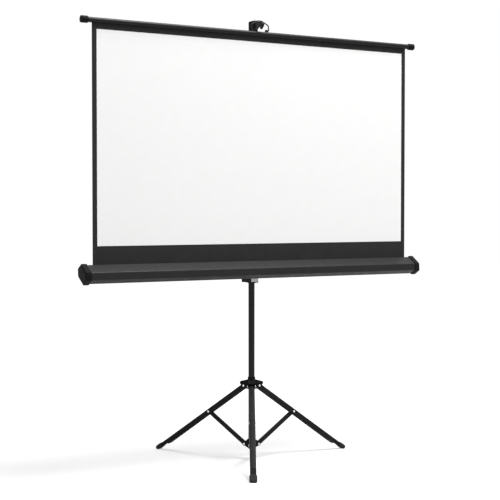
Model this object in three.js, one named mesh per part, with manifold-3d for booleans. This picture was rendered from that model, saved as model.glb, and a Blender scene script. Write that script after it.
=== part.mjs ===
// Tripod projection screen: sprung roller screen in a six-sided casing, carried on a telescopic
// mast with a folding three-legged stand. Millimetres, +Z up, origin on the floor on the mast's axis.
// The screen faces -Y, and its casing runs along X.
import * as THREE from 'three';
import { mergeVertices } from 'three/addons/utils/BufferGeometryUtils.js';
import Module from 'manifold-3d';

const wasm = await Module();
wasm.setup();

// Fits
const GAP = 0.3; // between pieces that touch
const RUN_GAP = 0.4; // each side of a piece that turns between cheeks
const OVERCUT = 5; // how far a cutter runs past the face it opens

// Screen sheet
const IMAGE_WIDTH = 1328.2;
const IMAGE_HEIGHT = 747.1;
const SIDE_BORDER = 18;
const TOP_BORDER = 20;
const BLACK_DROP = 63.1;
const SHEET_THICKNESS = 0.6;

// Casing
const CASE_CENTRE_HEIGHT = 722;
const CASE_RIDGE = [8.5, 33.5]; // section corners from the casing's centre: back, up
const CASE_FRONT_TOP = [-31.5, 7];
const CASE_FRONT_LOW = [-33.5, -18];
const CASE_END_ROOM = 40.9; // sheet's edge to the casing's end
const CASE_WALL = 0.9;
const SLOT_WIDTH = 4;
const CAP_PROUD = 3;
const CAP_BAND = 20;
const CAP_CHAMFER = 3;
const CAP_END_INSET = 2.5;
const CAP_BOSS_RADIUS = 8;
const CAP_BOSS_LENGTH = 16;

// Roller
const ROLLER_RADIUS = 11;
const ROLLER_WALL = 1;
const ROLLER_DROP = 6; // roller axis below the casing's centre
const ROLLER_END_ROOM = 16; // roller end to the end cap's boss
const ROLLER_PLUG_LENGTH = 12;
const ROLLER_PLUG_FLANGE = 2;
const WOUND_THICKNESS = 1.4;
const SPINDLE_RADIUS = 3;
const SPINDLE_LENGTH = 330;
const ANCHOR_LENGTH = 8;
const SPRING_TURNS = 14;
const SPRING_RADIUS = 6.6;
const SPRING_WIRE_RADIUS = 0.9;

// Top rod and bail
const ROD_RADIUS = 9.5;
const ROD_WALL = 1;
const ROD_END_ROOM = 40.9; // sheet's edge to the rod cap's end
const ROD_CAP_RADIUS = 12.5;
const ROD_CAP_LENGTH = 25;
const ROD_CAP_END = 4;
const BAIL_HALF_WIDTH = 37;
const BAIL_WIRE_RADIUS = 2.2;
const BAIL_SHOULDER = 21; // corner of leg and slope above the bail's pivot
const BAIL_SHOULDER_BEND = 10;
const BAIL_TOP_HALF_WIDTH = 9;
const BAIL_TOP_BEND = 8;
const BAIL_FOOT_BEND = 5;
const BAIL_FOOT = 22;
const BAIL_SETBACK = 5; // bail's top behind the rod's axis, on the hook
const CLIP_WIDTH = 8;
const CLIP_DEPTH = 9;
const CLIP_RISE = 3.5; // bail's pivot above the rod
const CLIP_COVER = 2; // clip's material over the bail's wire

// Mast
const MAST_TO_SHEET = 62;
const MAST_RADIUS = 11.8;
const MAST_WALL = 1;
const MAST_BOTTOM = 44;
const MAST_TOP = 900;
const PLUG_FLANGE = 4;
const PLUG_DEPTH = 14;
const BUSH_RADIUS = 15.5;
const BUSH_SKIRT = 22;
const BUSH_LIP = 18;
const INNER_RADIUS = 8;
const INNER_WALL = 1;
const INNER_OVERLAP = 170; // inner tube still inside the outer one
const GLIDE_LENGTH = 30;
const GLIDE_FLANGE = 2;
const HEAD_HALF_WIDTH = 9.5;
const HEAD_BACK = 9.5;
const HEAD_FRONT = -33;
const HEAD_CORNER = 5;
const HEAD_ABOVE_ROD = 3;
const HEAD_HEIGHT = 42;
const HEAD_SPIGOT = 25;
const HEAD_BEVEL = 3;
const HOOK_WIDTH = 10;
const HOOK_END_RADIUS = 10;
const HOOK_REACH = 11; // centre of the hook's end in front of the rod's axis
const HOOK_ROOT_HEIGHT = 28;
const HOOK_TOP_DROP = 8; // hook's top below the head's top
const HOOK_NIB = 7;

// Stand
const LEG_TURNS = [-120.8, -0.8, 119.2]; // degrees about Z from +X
const LEG_ANGLE = THREE.MathUtils.degToRad(54.8); // between a leg and the mast
const PIVOT_OFFSET = 27;
const LOWER_PIVOT_HEIGHT = 56.5;
const BRACE_LENGTH = 193; // also hub pivot to brace pivot on the leg
const LEG_LENGTH = 425;
const LEG_WIDTH = 22.4;
const LEG_DEPTH = 19.8;
const LEG_WALL = 1.3;
const STEM_WIDTH = 22.4;
const STEM_DEPTH = 13;
const STEM_LIFT = 3; // stem's axis above the leg's axis
const STEM_CORNER = 3;
const STEM_PLUG = 40;
const FOOT_WIDTH = 28;
const FOOT_DEPTH = 17.5;
const FOOT_LIFT = 0.85; // foot's axis above the stem's axis
const FOOT_CORNER = 7;
const FOOT_MOUTH_INSET = 0.6;
const FOOT_LENGTH = 29;
const FOOT_END = 13; // rubber beyond the stem's end
const FOOT_TIP_RISE = 2.4; // stem's axis above the floor at the foot's tip
const FOOT_NOSE = 6;
const BRACE_WIDTH = 14.4;
const BRACE_DEPTH = 13.2;
const BRACE_WALL = 1.2;
const RIVET_RADIUS = 2.5;
const RIVET_HEAD_RADIUS = 4.2;
const RIVET_HEAD_HEIGHT = 2;
const COLLAR_RADIUS = 16;
const COLLAR_HEIGHT = 32;
const COLLAR_CHEEK = 2.5;
const EAR_RADIUS = 7;
const HUB_RADIUS = 15.8;
const HUB_NECK_RADIUS = 14.3;
const HUB_NECK_HEIGHT = 10;
const HUB_BELOW = 11; // hub's bottom below its leg pivots
const HUB_CHEEK = 3;
const HUB_ROOF_GAP = 1;
const HUB_ROOF = 12.7;
const HOOD_REACH = 16; // hood's end beyond the leg's pivot
const HOOD_FALL = 6; // hood's end below its root
const HOOD_CORNER = 7;
const HOOD_LIP = 9; // hood's lower corner above the leg's pivot
const HUB_EYE_RADIUS = 8;

// Carriage
const BLOCK_HALF_WIDTH = 15;
const BLOCK_FRONT = -22;
const BLOCK_BACK = 50;
const BLOCK_DROP = 52; // block's bottom below the casing's centre
const BLOCK_HEIGHT = 80;
const BLOCK_CORNER = 4;
const BLOCK_LIP = 3.2;
const LINER_THICKNESS = 1.2;
const LINER_FLANGE = 2;
const LINER_FLANGE_REACH = 1.5;
const PLATE_THICKNESS = 3;
const BRACKET_HALF_WIDTH = 13;
const BRACKET_HEIGHT = 20;
const BOLT_RADIUS = 4;
const BOLT_RISE = 5; // bolt above the casing's centre
const BOLT_HEAD_RADIUS = 6.5;
const BOLT_HEAD_HEIGHT = 5;
const NUT_RADIUS = 7;
const NUT_HEIGHT = 6;
const NUT_SIDES = 6;
const BOLT_PAST_NUT = 1;

// Lock knobs: radius, thickness, neck radius, neck length, screw radius
const CARRIAGE_KNOB = { radius: 16, thickness: 14, neck: 6, neckLength: 5, screw: 3 };
const EXTENSION_KNOB = { radius: 12, thickness: 11, neck: 5, neckLength: 4, screw: 2.5 };
const HUB_KNOB = { radius: 9.5, thickness: 13, neck: 3.2, neckLength: 16, screw: 2 };
const KNOB_LOBES = 5;
const KNOB_LOBE_DEPTH = 0.07; // share of the knob's radius
const HUB_KNOB_TURN = 60; // degrees, between the right and the rear leg
const EXTENSION_BOSS = { radius: 6, reach: 21 };

// Facets round a circle
const FINE = 24;
const MEDIUM = 16;
const COARSE = 10;
const ARC_STEPS = 5;

// Worked out from the sizes above
const sheetY = -MAST_TO_SHEET;
const caseY = sheetY - CASE_RIDGE[0];
const caseTop = CASE_CENTRE_HEIGHT + CASE_RIDGE[1];
const sheetHalfWidth = IMAGE_WIDTH / 2 + SIDE_BORDER;
const sheetTop = caseTop + BLACK_DROP + IMAGE_HEIGHT + TOP_BORDER;
const caseHalfLength = sheetHalfWidth + CASE_END_ROOM;
const rodHalfLength = sheetHalfWidth + ROD_END_ROOM;
const rodZ = sheetTop + GAP + ROD_RADIUS;
const woundRadius = ROLLER_RADIUS + GAP + WOUND_THICKNESS;
const rollerY = sheetY - SHEET_THICKNESS / 2 - GAP - woundRadius;
const rollerZ = CASE_CENTRE_HEIGHT - ROLLER_DROP;
const capInnerEnd = caseHalfLength + GAP;
const rollerHalfLength = capInnerEnd - CAP_BOSS_LENGTH - ROLLER_END_ROOM;
const bailZ = rodZ + ROD_RADIUS + CLIP_RISE;
const headBottom = rodZ + ROD_RADIUS + HEAD_ABOVE_ROD;
const headTop = headBottom + HEAD_HEIGHT;
const hookTop = headTop - HOOK_TOP_DROP;
const bailRise = hookTop + GAP + BAIL_WIRE_RADIUS - bailZ;
const bailHeight = Math.hypot(BAIL_SETBACK, bailRise);
const innerBottom = MAST_TOP - INNER_OVERLAP;
const rivetHole = RIVET_RADIUS + GAP;
const mastBore = MAST_RADIUS + GAP;
const hubPivotZ = LOWER_PIVOT_HEIGHT + 2 * BRACE_LENGTH * Math.cos(LEG_ANGLE);
const hubBottom = hubPivotZ - HUB_BELOW;
const legEndRadius = LEG_DEPTH / 2;
const footAxisDrop = hubPivotZ + STEM_LIFT * Math.sin(LEG_ANGLE) - FOOT_TIP_RISE;
const footTip = footAxisDrop / Math.cos(LEG_ANGLE); // along the leg from its pivot
const hubRoofUnder = hubPivotZ + legEndRadius + HUB_ROOF_GAP;
const hubTop = hubRoofUnder + HUB_ROOF;
const linerRadius = mastBore + LINER_THICKNESS;
const blockBottom = CASE_CENTRE_HEIGHT - BLOCK_DROP;
const blockTop = blockBottom + BLOCK_HEIGHT;
const plateFront = BLOCK_FRONT - GAP - PLATE_THICKNESS;
const boltZ = CASE_CENTRE_HEIGHT + BOLT_RISE;

// Solids: closed meshes in, closed meshes out
function signedVolume(positions, triangles) {
  const a = new THREE.Vector3();
  const b = new THREE.Vector3();
  const c = new THREE.Vector3();
  let volume = 0;
  for (let i = 0; i < triangles.length; i += 3) {
    a.fromArray(positions, 3 * triangles[i]);
    b.fromArray(positions, 3 * triangles[i + 1]);
    c.fromArray(positions, 3 * triangles[i + 2]);
    volume += a.dot(b.cross(c)) / 6;
  }
  return volume;
}

function solidOf(geometry) {
  const bare = geometry.clone();
  bare.deleteAttribute('normal');
  bare.deleteAttribute('uv');
  const merged = mergeVertices(bare, 1e-4);
  const vertProperties = Float32Array.from(merged.attributes.position.array);
  const kept = [];
  for (let i = 0; i < merged.index.count; i += 3) {
    const corners = [0, 1, 2].map((n) => merged.index.getX(i + n));
    if (new Set(corners).size === 3) kept.push(...corners);
  }
  const triVerts = Uint32Array.from(kept);
  if (signedVolume(vertProperties, triVerts) < 0) {
    for (let i = 0; i < triVerts.length; i += 3) {
      [triVerts[i], triVerts[i + 1]] = [triVerts[i + 1], triVerts[i]];
    }
  }
  return new wasm.Manifold(new wasm.Mesh({ numProp: 3, vertProperties, triVerts }));
}

function geometryOf(solid) {
  const mesh = solid.getMesh();
  const geometry = new THREE.BufferGeometry();
  geometry.setAttribute('position', new THREE.BufferAttribute(Float32Array.from(mesh.vertProperties), 3));
  geometry.setIndex(new THREE.BufferAttribute(Uint32Array.from(mesh.triVerts), 1));
  geometry.computeVertexNormals();
  return geometry;
}

function closed(geometry) {
  return geometryOf(solidOf(geometry));
}

function join(...geometries) {
  return geometryOf(geometries.map(solidOf).reduce((whole, next) => whole.add(next)));
}

function cut(geometry, ...cutters) {
  return geometryOf(cutters.map(solidOf).reduce((whole, next) => whole.subtract(next), solidOf(geometry)));
}

// Shapes
const X_AXIS = new THREE.Vector3(1, 0, 0);
const Y_AXIS = new THREE.Vector3(0, 1, 0);
const Z_AXIS = new THREE.Vector3(0, 0, 1);

function box(xs, ys, zs) {
  const geometry = new THREE.BoxGeometry(xs[1] - xs[0], ys[1] - ys[0], zs[1] - zs[0]);
  return geometry.translate((xs[0] + xs[1]) / 2, (ys[0] + ys[1]) / 2, (zs[0] + zs[1]) / 2);
}

// Turned piece about an axis through `at`; the profile is [radius, place along the axis] pairs
function turned(profile, axis, at, sides = MEDIUM) {
  const points = profile.map(([radius, along]) => new THREE.Vector2(radius, along));
  const geometry = new THREE.LatheGeometry(points, sides);
  const turn = new THREE.Quaternion().setFromUnitVectors(Y_AXIS, axis);
  return geometry.applyQuaternion(turn).translate(at[0], at[1], at[2]);
}

function disc(radius, from, to, axis, at, sides = MEDIUM) {
  return turned([[0, from], [radius, from], [radius, to], [0, to]], axis, at, sides);
}

function ring(outer, inner, from, to, axis, at, sides = MEDIUM) {
  const profile = [[inner, from], [outer, from], [outer, to], [inner, to], [inner, from]];
  return turned(profile, axis, at, sides);
}

function extruded(shape, depth, x, y, z) {
  const geometry = new THREE.ExtrudeGeometry(shape, { depth, bevelEnabled: false, curveSegments: ARC_STEPS });
  geometry.translate(0, 0, -depth / 2);
  return geometry.applyMatrix4(new THREE.Matrix4().makeBasis(x, y, z));
}

function polygon(points) {
  return new THREE.Shape(points.map(([u, v]) => new THREE.Vector2(u, v)));
}

// Outline in Y and Z, length along X
function alongX(shape, length) {
  return extruded(shape, length, Y_AXIS, Z_AXIS, X_AXIS);
}

// Outline in X and Z, thickness along Y
function plateXZ(shape, thickness) {
  return extruded(shape, thickness, X_AXIS, Z_AXIS, Y_AXIS.clone().negate());
}

// Outline in X and Y, height along Z
function column(shape, from, to) {
  return extruded(shape, to - from, X_AXIS, Y_AXIS, Z_AXIS).translate(0, 0, (from + to) / 2);
}

function roundedRectangle(xs, ys, corner) {
  const shape = new THREE.Shape();
  shape.moveTo(xs[1], ys[0] + corner);
  shape.absarc(xs[1] - corner, ys[1] - corner, corner, 0, Math.PI / 2);
  shape.absarc(xs[0] + corner, ys[1] - corner, corner, Math.PI / 2, Math.PI);
  shape.absarc(xs[0] + corner, ys[0] + corner, corner, Math.PI, 1.5 * Math.PI);
  shape.absarc(xs[1] - corner, ys[0] + corner, corner, 1.5 * Math.PI, 2 * Math.PI);
  return shape;
}

// Bar with round ends about (0, 0) and (length, 0)
function stadium(length, radius) {
  const shape = new THREE.Shape();
  shape.moveTo(0, -radius);
  shape.lineTo(length, -radius);
  shape.absarc(length, 0, radius, -Math.PI / 2, Math.PI / 2);
  shape.lineTo(0, radius);
  shape.absarc(0, 0, radius, Math.PI / 2, 1.5 * Math.PI);
  return shape;
}

// Convex outline moved out by a distance; corners run anticlockwise
function offsetOutline(points, distance) {
  const sides = points.map((point, i) => {
    const next = points[(i + 1) % points.length];
    const length = Math.hypot(next[0] - point[0], next[1] - point[1]);
    const normal = [(next[1] - point[1]) / length, (point[0] - next[0]) / length];
    return { normal, reach: normal[0] * point[0] + normal[1] * point[1] + distance };
  });
  return sides.map((side, i) => {
    const before = sides[(i + sides.length - 1) % sides.length];
    const [a, b] = before.normal;
    const [c, d] = side.normal;
    const determinant = a * d - b * c;
    return [
      (before.reach * d - b * side.reach) / determinant,
      (a * side.reach - before.reach * c) / determinant,
    ];
  });
}

// Skin over rings of equal count, closed by flat ends
function loft(rings) {
  const count = rings[0].length;
  const triangles = [];
  for (let r = 0; r + 1 < rings.length; r += 1) {
    for (let i = 0; i < count; i += 1) {
      const j = (i + 1) % count;
      const low = r * count;
      const high = low + count;
      triangles.push(low + i, low + j, high + j, low + i, high + j, high + i);
    }
  }
  const last = (rings.length - 1) * count;
  for (let i = 1; i + 1 < count; i += 1) {
    triangles.push(0, i + 1, i, last, last + i, last + i + 1);
  }
  const geometry = new THREE.BufferGeometry();
  const positions = new Float32Array(rings.flat(2));
  geometry.setAttribute('position', new THREE.BufferAttribute(positions, 3));
  geometry.setIndex(triangles);
  return geometry;
}

// Round wire along points
function wire(points, radius, sides) {
  const section = new THREE.EllipseCurve(0, 0, radius, radius).getPoints(sides).slice(0, -1);
  const tangents = points.map((point, i) => {
    const before = points[Math.max(i - 1, 0)];
    const after = points[Math.min(i + 1, points.length - 1)];
    return after.clone().sub(before).normalize();
  });
  let normal = new THREE.Vector3().crossVectors(tangents[0], Y_AXIS).normalize();
  const rings = points.map((point, i) => {
    normal = normal.clone().addScaledVector(tangents[i], -normal.dot(tangents[i])).normalize();
    const across = new THREE.Vector3().crossVectors(tangents[i], normal);
    return section.map((corner) => {
      const place = point.clone().addScaledVector(normal, corner.x).addScaledVector(across, corner.y);
      return place.toArray();
    });
  });
  return loft(rings);
}

// Materials
function finish(color, roughness, metalness) {
  return new THREE.MeshStandardMaterial({ color, roughness, metalness });
}
const blackPaint = finish(0x1d1d1e, 0.45, 0.3);
const casePaint = finish(0x242425, 0.4, 0.3);
const blackPlastic = finish(0x161617, 0.6, 0);
const rubber = finish(0x111111, 0.9, 0);
const zinc = finish(0xb0b1b3, 0.4, 0.9);
const nylon = finish(0x2a2a2b, 0.7, 0);
const whiteSheet = finish(0xf4f4f2, 0.9, 0);
const blackSheet = finish(0x222223, 0.9, 0);

const screen = new THREE.Group();

function add(parent, name, geometry, material) {
  const mesh = new THREE.Mesh(closed(geometry), material);
  mesh.name = name;
  parent.add(mesh);
}

// Lock knob: screw along +Y from `tip`, neck and lobed head from `seat` outwards
function lockKnob(size, tip, seat) {
  const steps = KNOB_LOBES * 6;
  const outline = Array.from({ length: steps }, (_, i) => {
    const turn = (2 * Math.PI * i) / steps;
    const reach = size.radius * (1 - KNOB_LOBE_DEPTH * (1 - Math.cos(KNOB_LOBES * turn)));
    return [reach * Math.cos(turn), reach * Math.sin(turn)];
  });
  const headFrom = seat + size.neckLength;
  const head = plateXZ(polygon(outline), size.thickness).translate(0, headFrom + size.thickness / 2, 0);
  const neck = disc(size.neck, seat, headFrom + size.thickness / 2, Y_AXIS, [0, 0, 0], COARSE);
  const screw = disc(size.screw, tip, headFrom + size.thickness / 2, Y_AXIS, [0, 0, 0], COARSE);
  return join(head, neck, screw);
}

// Rivet along Y with a domed head outside each cheek
function rivet(halfGrip) {
  const seat = halfGrip + GAP;
  const rim = seat + RIVET_HEAD_HEIGHT * 0.4;
  const top = seat + RIVET_HEAD_HEIGHT;
  const half = [
    [RIVET_RADIUS, seat], [RIVET_HEAD_RADIUS, seat], [RIVET_HEAD_RADIUS, rim],
    [RIVET_HEAD_RADIUS * 0.6, top], [0, top],
  ];
  const mirrored = half.map(([radius, along]) => [radius, -along]).reverse();
  return turned([...mirrored, ...half], Y_AXIS, [0, 0, 0], COARSE);
}

function alongY(radius, halfLength) {
  return disc(radius, -halfLength, halfLength, Y_AXIS, [0, 0, 0], COARSE);
}

// Mast
function buildMast(parent) {
  const centre = [0, 0, 0];
  const bore = MAST_RADIUS - MAST_WALL;
  const outer = ring(MAST_RADIUS, bore, MAST_BOTTOM, MAST_TOP, Z_AXIS, centre, FINE);
  add(parent, 'outer_mast_tube', outer, blackPaint);

  const plugSeat = MAST_BOTTOM - GAP;
  const plug = [
    [0, plugSeat - PLUG_FLANGE], [MAST_RADIUS, plugSeat - PLUG_FLANGE], [MAST_RADIUS, plugSeat],
    [bore - GAP, plugSeat], [bore - GAP, plugSeat + PLUG_DEPTH], [0, plugSeat + PLUG_DEPTH],
  ];
  add(parent, 'mast_end_plug', turned(plug, Z_AXIS, centre), blackPlastic);

  const lipBottom = MAST_TOP + GAP;
  const lipTop = lipBottom + BUSH_LIP;
  const bushBottom = MAST_TOP - BUSH_SKIRT;
  const bush = [
    [mastBore, bushBottom], [BUSH_RADIUS, bushBottom], [BUSH_RADIUS, lipTop],
    [INNER_RADIUS + GAP, lipTop], [INNER_RADIUS + GAP, lipBottom], [mastBore, lipBottom],
    [mastBore, bushBottom],
  ];
  const knobZ = lipBottom + BUSH_LIP / 2;
  const knobAt = [0, 0, knobZ];
  const bossFrom = (INNER_RADIUS + BUSH_RADIUS) / 2;
  const boss = disc(EXTENSION_BOSS.radius, bossFrom, EXTENSION_BOSS.reach, Y_AXIS, knobAt, COARSE);
  const holeEnd = EXTENSION_BOSS.reach + OVERCUT;
  const screwHole = disc(EXTENSION_KNOB.screw + GAP, 0, holeEnd, Y_AXIS, knobAt, COARSE);
  const bushWithBoss = join(turned(bush, Z_AXIS, centre, FINE), boss);
  add(parent, 'mast_top_bush', cut(bushWithBoss, screwHole), blackPlastic);
  const knob = lockKnob(EXTENSION_KNOB, INNER_RADIUS + GAP, EXTENSION_BOSS.reach + GAP);
  add(parent, 'extension_lock_knob', knob.translate(0, 0, knobZ), blackPlastic);

  const innerTop = headBottom - GAP;
  const innerBore = INNER_RADIUS - INNER_WALL;
  const inner = ring(INNER_RADIUS, innerBore, innerBottom, innerTop, Z_AXIS, centre, FINE);
  add(parent, 'inner_mast_tube', inner, blackPaint);
  const glideSeat = innerBottom - GAP;
  const glide = [
    [0, glideSeat - GLIDE_FLANGE], [bore - GAP, glideSeat - GLIDE_FLANGE], [bore - GAP, glideSeat],
    [innerBore - GAP, glideSeat], [innerBore - GAP, glideSeat + GLIDE_LENGTH], [0, glideSeat + GLIDE_LENGTH],
  ];
  add(parent, 'inner_tube_glide', turned(glide, Z_AXIS, centre), nylon);
}

// Head on the inner tube, and the hook that the bail hangs on
function buildHead(parent) {
  function headRing(inset, z) {
    const xs = [inset - HEAD_HALF_WIDTH, HEAD_HALF_WIDTH - inset];
    const ys = [HEAD_FRONT + inset, HEAD_BACK - inset];
    const outline = roundedRectangle(xs, ys, HEAD_CORNER - inset / 2);
    return outline.getPoints(4).slice(0, -1).map((point) => [point.x, point.y, z]);
  }
  const shoulder = headTop - HEAD_BEVEL;
  const body = loft([headRing(0, headBottom), headRing(0, shoulder), headRing(HEAD_BEVEL, headTop)]);
  const spigotRadius = INNER_RADIUS - INNER_WALL - GAP;
  const spigot = disc(spigotRadius, headBottom - HEAD_SPIGOT, headBottom + HEAD_BEVEL, Z_AXIS, [0, 0, 0]);
  add(parent, 'mast_head', join(body, spigot), blackPlastic);

  const rootY = HEAD_FRONT - GAP;
  const endY = sheetY - HOOK_REACH;
  const swingRoom = bailHeight - BAIL_WIRE_RADIUS - 2 * GAP - HOOK_END_RADIUS;
  const endZ = bailZ + Math.sqrt(swingRoom ** 2 - HOOK_REACH ** 2); // inside the bail's swing
  const hook = new THREE.Shape();
  hook.moveTo(rootY, hookTop - HOOK_ROOT_HEIGHT);
  hook.lineTo(rootY, hookTop);
  hook.lineTo(sheetY + BAIL_SETBACK, hookTop);
  hook.absarc(endY, endZ, HOOK_END_RADIUS, Math.PI / 2, 1.45 * Math.PI);
  hook.lineTo(endY + HOOK_NIB / 2, endZ - HOOK_END_RADIUS - HOOK_NIB);
  hook.lineTo(endY + HOOK_NIB, endZ - HOOK_END_RADIUS + 1);
  hook.lineTo((endY + rootY) / 2, endZ - HOOK_END_RADIUS / 2);
  add(parent, 'hanger_hook', alongX(hook, HOOK_WIDTH), blackPaint);
}

// Bail: a wire loop whose feet turn in two clips on the rod
function buildBail(parent) {
  const lean = Math.atan2(BAIL_SETBACK, bailRise);
  const half = [new THREE.Vector3(BAIL_FOOT, 0, 0)];
  function bend(centreX, centreZ, radius, from, to, steps) {
    for (let i = 0; i <= steps; i += 1) {
      const angle = from + ((to - from) * i) / steps;
      half.push(new THREE.Vector3(centreX + radius * Math.cos(angle), 0, centreZ + radius * Math.sin(angle)));
    }
  }
  bend(BAIL_HALF_WIDTH - BAIL_FOOT_BEND, BAIL_FOOT_BEND, BAIL_FOOT_BEND, -Math.PI / 2, 0, 3);
  const slope = Math.atan2(bailHeight - BAIL_SHOULDER, BAIL_HALF_WIDTH - BAIL_TOP_HALF_WIDTH);
  const turn = Math.PI / 2 - slope;
  const shoulderZ = BAIL_SHOULDER - BAIL_SHOULDER_BEND * Math.tan(turn / 2);
  bend(BAIL_HALF_WIDTH - BAIL_SHOULDER_BEND, shoulderZ, BAIL_SHOULDER_BEND, 0, turn, 4);
  const topX = BAIL_TOP_HALF_WIDTH - BAIL_TOP_BEND * Math.tan(slope / 2);
  bend(topX, bailHeight - BAIL_TOP_BEND, BAIL_TOP_BEND, turn, Math.PI / 2, 3);
  const mirrored = half.map((point) => new THREE.Vector3(-point.x, 0, point.z)).reverse();
  const route = [...half, ...mirrored];
  const loop = wire(route, BAIL_WIRE_RADIUS, 8).rotateX(-lean).translate(0, sheetY, bailZ);
  add(parent, 'hanger_bail', loop, blackPaint);

  const clipTop = bailZ + BAIL_WIRE_RADIUS + CLIP_COVER;
  const clipCentre = (BAIL_FOOT + BAIL_HALF_WIDTH - BAIL_FOOT_BEND) / 2;
  const rodCutter = disc(ROD_RADIUS + GAP, -CLIP_WIDTH, CLIP_WIDTH, X_AXIS, [0, sheetY, rodZ], FINE);
  const wireAt = [0, sheetY, bailZ];
  const wireCutter = disc(BAIL_WIRE_RADIUS + GAP, -CLIP_WIDTH, CLIP_WIDTH, X_AXIS, wireAt, COARSE);
  const clipYs = [sheetY - CLIP_DEPTH / 2, sheetY + CLIP_DEPTH / 2];
  const block = roundedRectangle(clipYs, [rodZ, clipTop], CLIP_COVER);
  const clip = cut(alongX(block, CLIP_WIDTH), rodCutter, wireCutter);
  add(parent, 'bail_clip_left', clip.clone().translate(-clipCentre, 0, 0), blackPlastic);
  add(parent, 'bail_clip_right', clip.clone().translate(clipCentre, 0, 0), blackPlastic);
}

// Top rod, its caps and the sheet between rod and roller
function buildRodAndSheet(parent) {
  const at = [0, sheetY, rodZ];
  const tubeHalf = rodHalfLength - ROD_CAP_END - GAP;
  const tube = ring(ROD_RADIUS, ROD_RADIUS - ROD_WALL, -tubeHalf, tubeHalf, X_AXIS, at, FINE);
  add(parent, 'top_rod', tube, blackPaint);
  const mouth = rodHalfLength - ROD_CAP_LENGTH;
  const seat = rodHalfLength - ROD_CAP_END;
  const rim = ROD_CAP_END / 2;
  const cap = [
    [ROD_RADIUS + GAP, mouth], [ROD_CAP_RADIUS, mouth], [ROD_CAP_RADIUS, rodHalfLength - rim],
    [ROD_CAP_RADIUS - rim, rodHalfLength], [0, rodHalfLength], [0, seat], [ROD_RADIUS + GAP, seat],
    [ROD_RADIUS + GAP, mouth],
  ];
  add(parent, 'rod_cap_right', turned(cap, X_AXIS, at, FINE), blackPlastic);
  add(parent, 'rod_cap_left', turned(cap, X_AXIS.clone().negate(), at, FINE), blackPlastic);

  const xs = [-sheetHalfWidth, sheetHalfWidth];
  const ys = [sheetY - SHEET_THICKNESS / 2, sheetY + SHEET_THICKNESS / 2];
  add(parent, 'screen_sheet', box(xs, ys, [rollerZ, sheetTop]), whiteSheet);
}

// Six-sided section: three corners, and the same three turned half round
const caseSection = [CASE_RIDGE, CASE_FRONT_TOP, CASE_FRONT_LOW]
  .flatMap((corner, i, all) => [corner, ...(i === all.length - 1 ? all.map(([y, z]) => [-y, -z]) : [])])
  .map(([y, z]) => [caseY + y, CASE_CENTRE_HEIGHT + z]);

function buildCasing(parent) {
  const outline = polygon(caseSection);
  outline.holes.push(new THREE.Path(polygon(offsetOutline(caseSection, -CASE_WALL)).getPoints()));
  const slotYs = [sheetY - SLOT_WIDTH / 2, sheetY + SLOT_WIDTH / 2];
  const slotReach = caseHalfLength + OVERCUT;
  const slot = box([-slotReach, slotReach], slotYs, [CASE_CENTRE_HEIGHT, caseTop + OVERCUT]);
  const boltHole = disc(BOLT_RADIUS + GAP, caseY, 0, Y_AXIS, [0, 0, boltZ], COARSE);
  add(parent, 'casing_shell', cut(alongX(outline, 2 * caseHalfLength), slot, boltHole), casePaint);

  function capRing(distance, x) {
    return offsetOutline(caseSection, distance).map(([y, z]) => [x, y, z]);
  }
  const mouth = capInnerEnd + CAP_CHAMFER / 2 - CAP_BAND;
  const edge = mouth + CAP_BAND;
  const capEnd = capRing(-CAP_END_INSET, edge + CAP_CHAMFER);
  const cover = loft([capRing(CAP_PROUD, mouth), capRing(CAP_PROUD, edge), capEnd]);
  const cavity = loft([capRing(GAP, mouth - OVERCUT), capRing(GAP, capInnerEnd)]);
  const bossFrom = capInnerEnd - CAP_BOSS_LENGTH;
  const bossAt = [0, rollerY, rollerZ];
  const boss = disc(CAP_BOSS_RADIUS, bossFrom, capInnerEnd + CAP_CHAMFER / 2, X_AXIS, bossAt);
  const bossHole = disc(SPINDLE_RADIUS + GAP, bossFrom - OVERCUT, capInnerEnd, X_AXIS, bossAt, COARSE);
  const cap = cut(join(cut(cover, cavity), boss), bossHole);
  add(parent, 'end_cap_right', cap, blackPlastic);
  add(parent, 'end_cap_left', closed(cap.clone().scale(-1, 1, 1)), blackPlastic);
}

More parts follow.
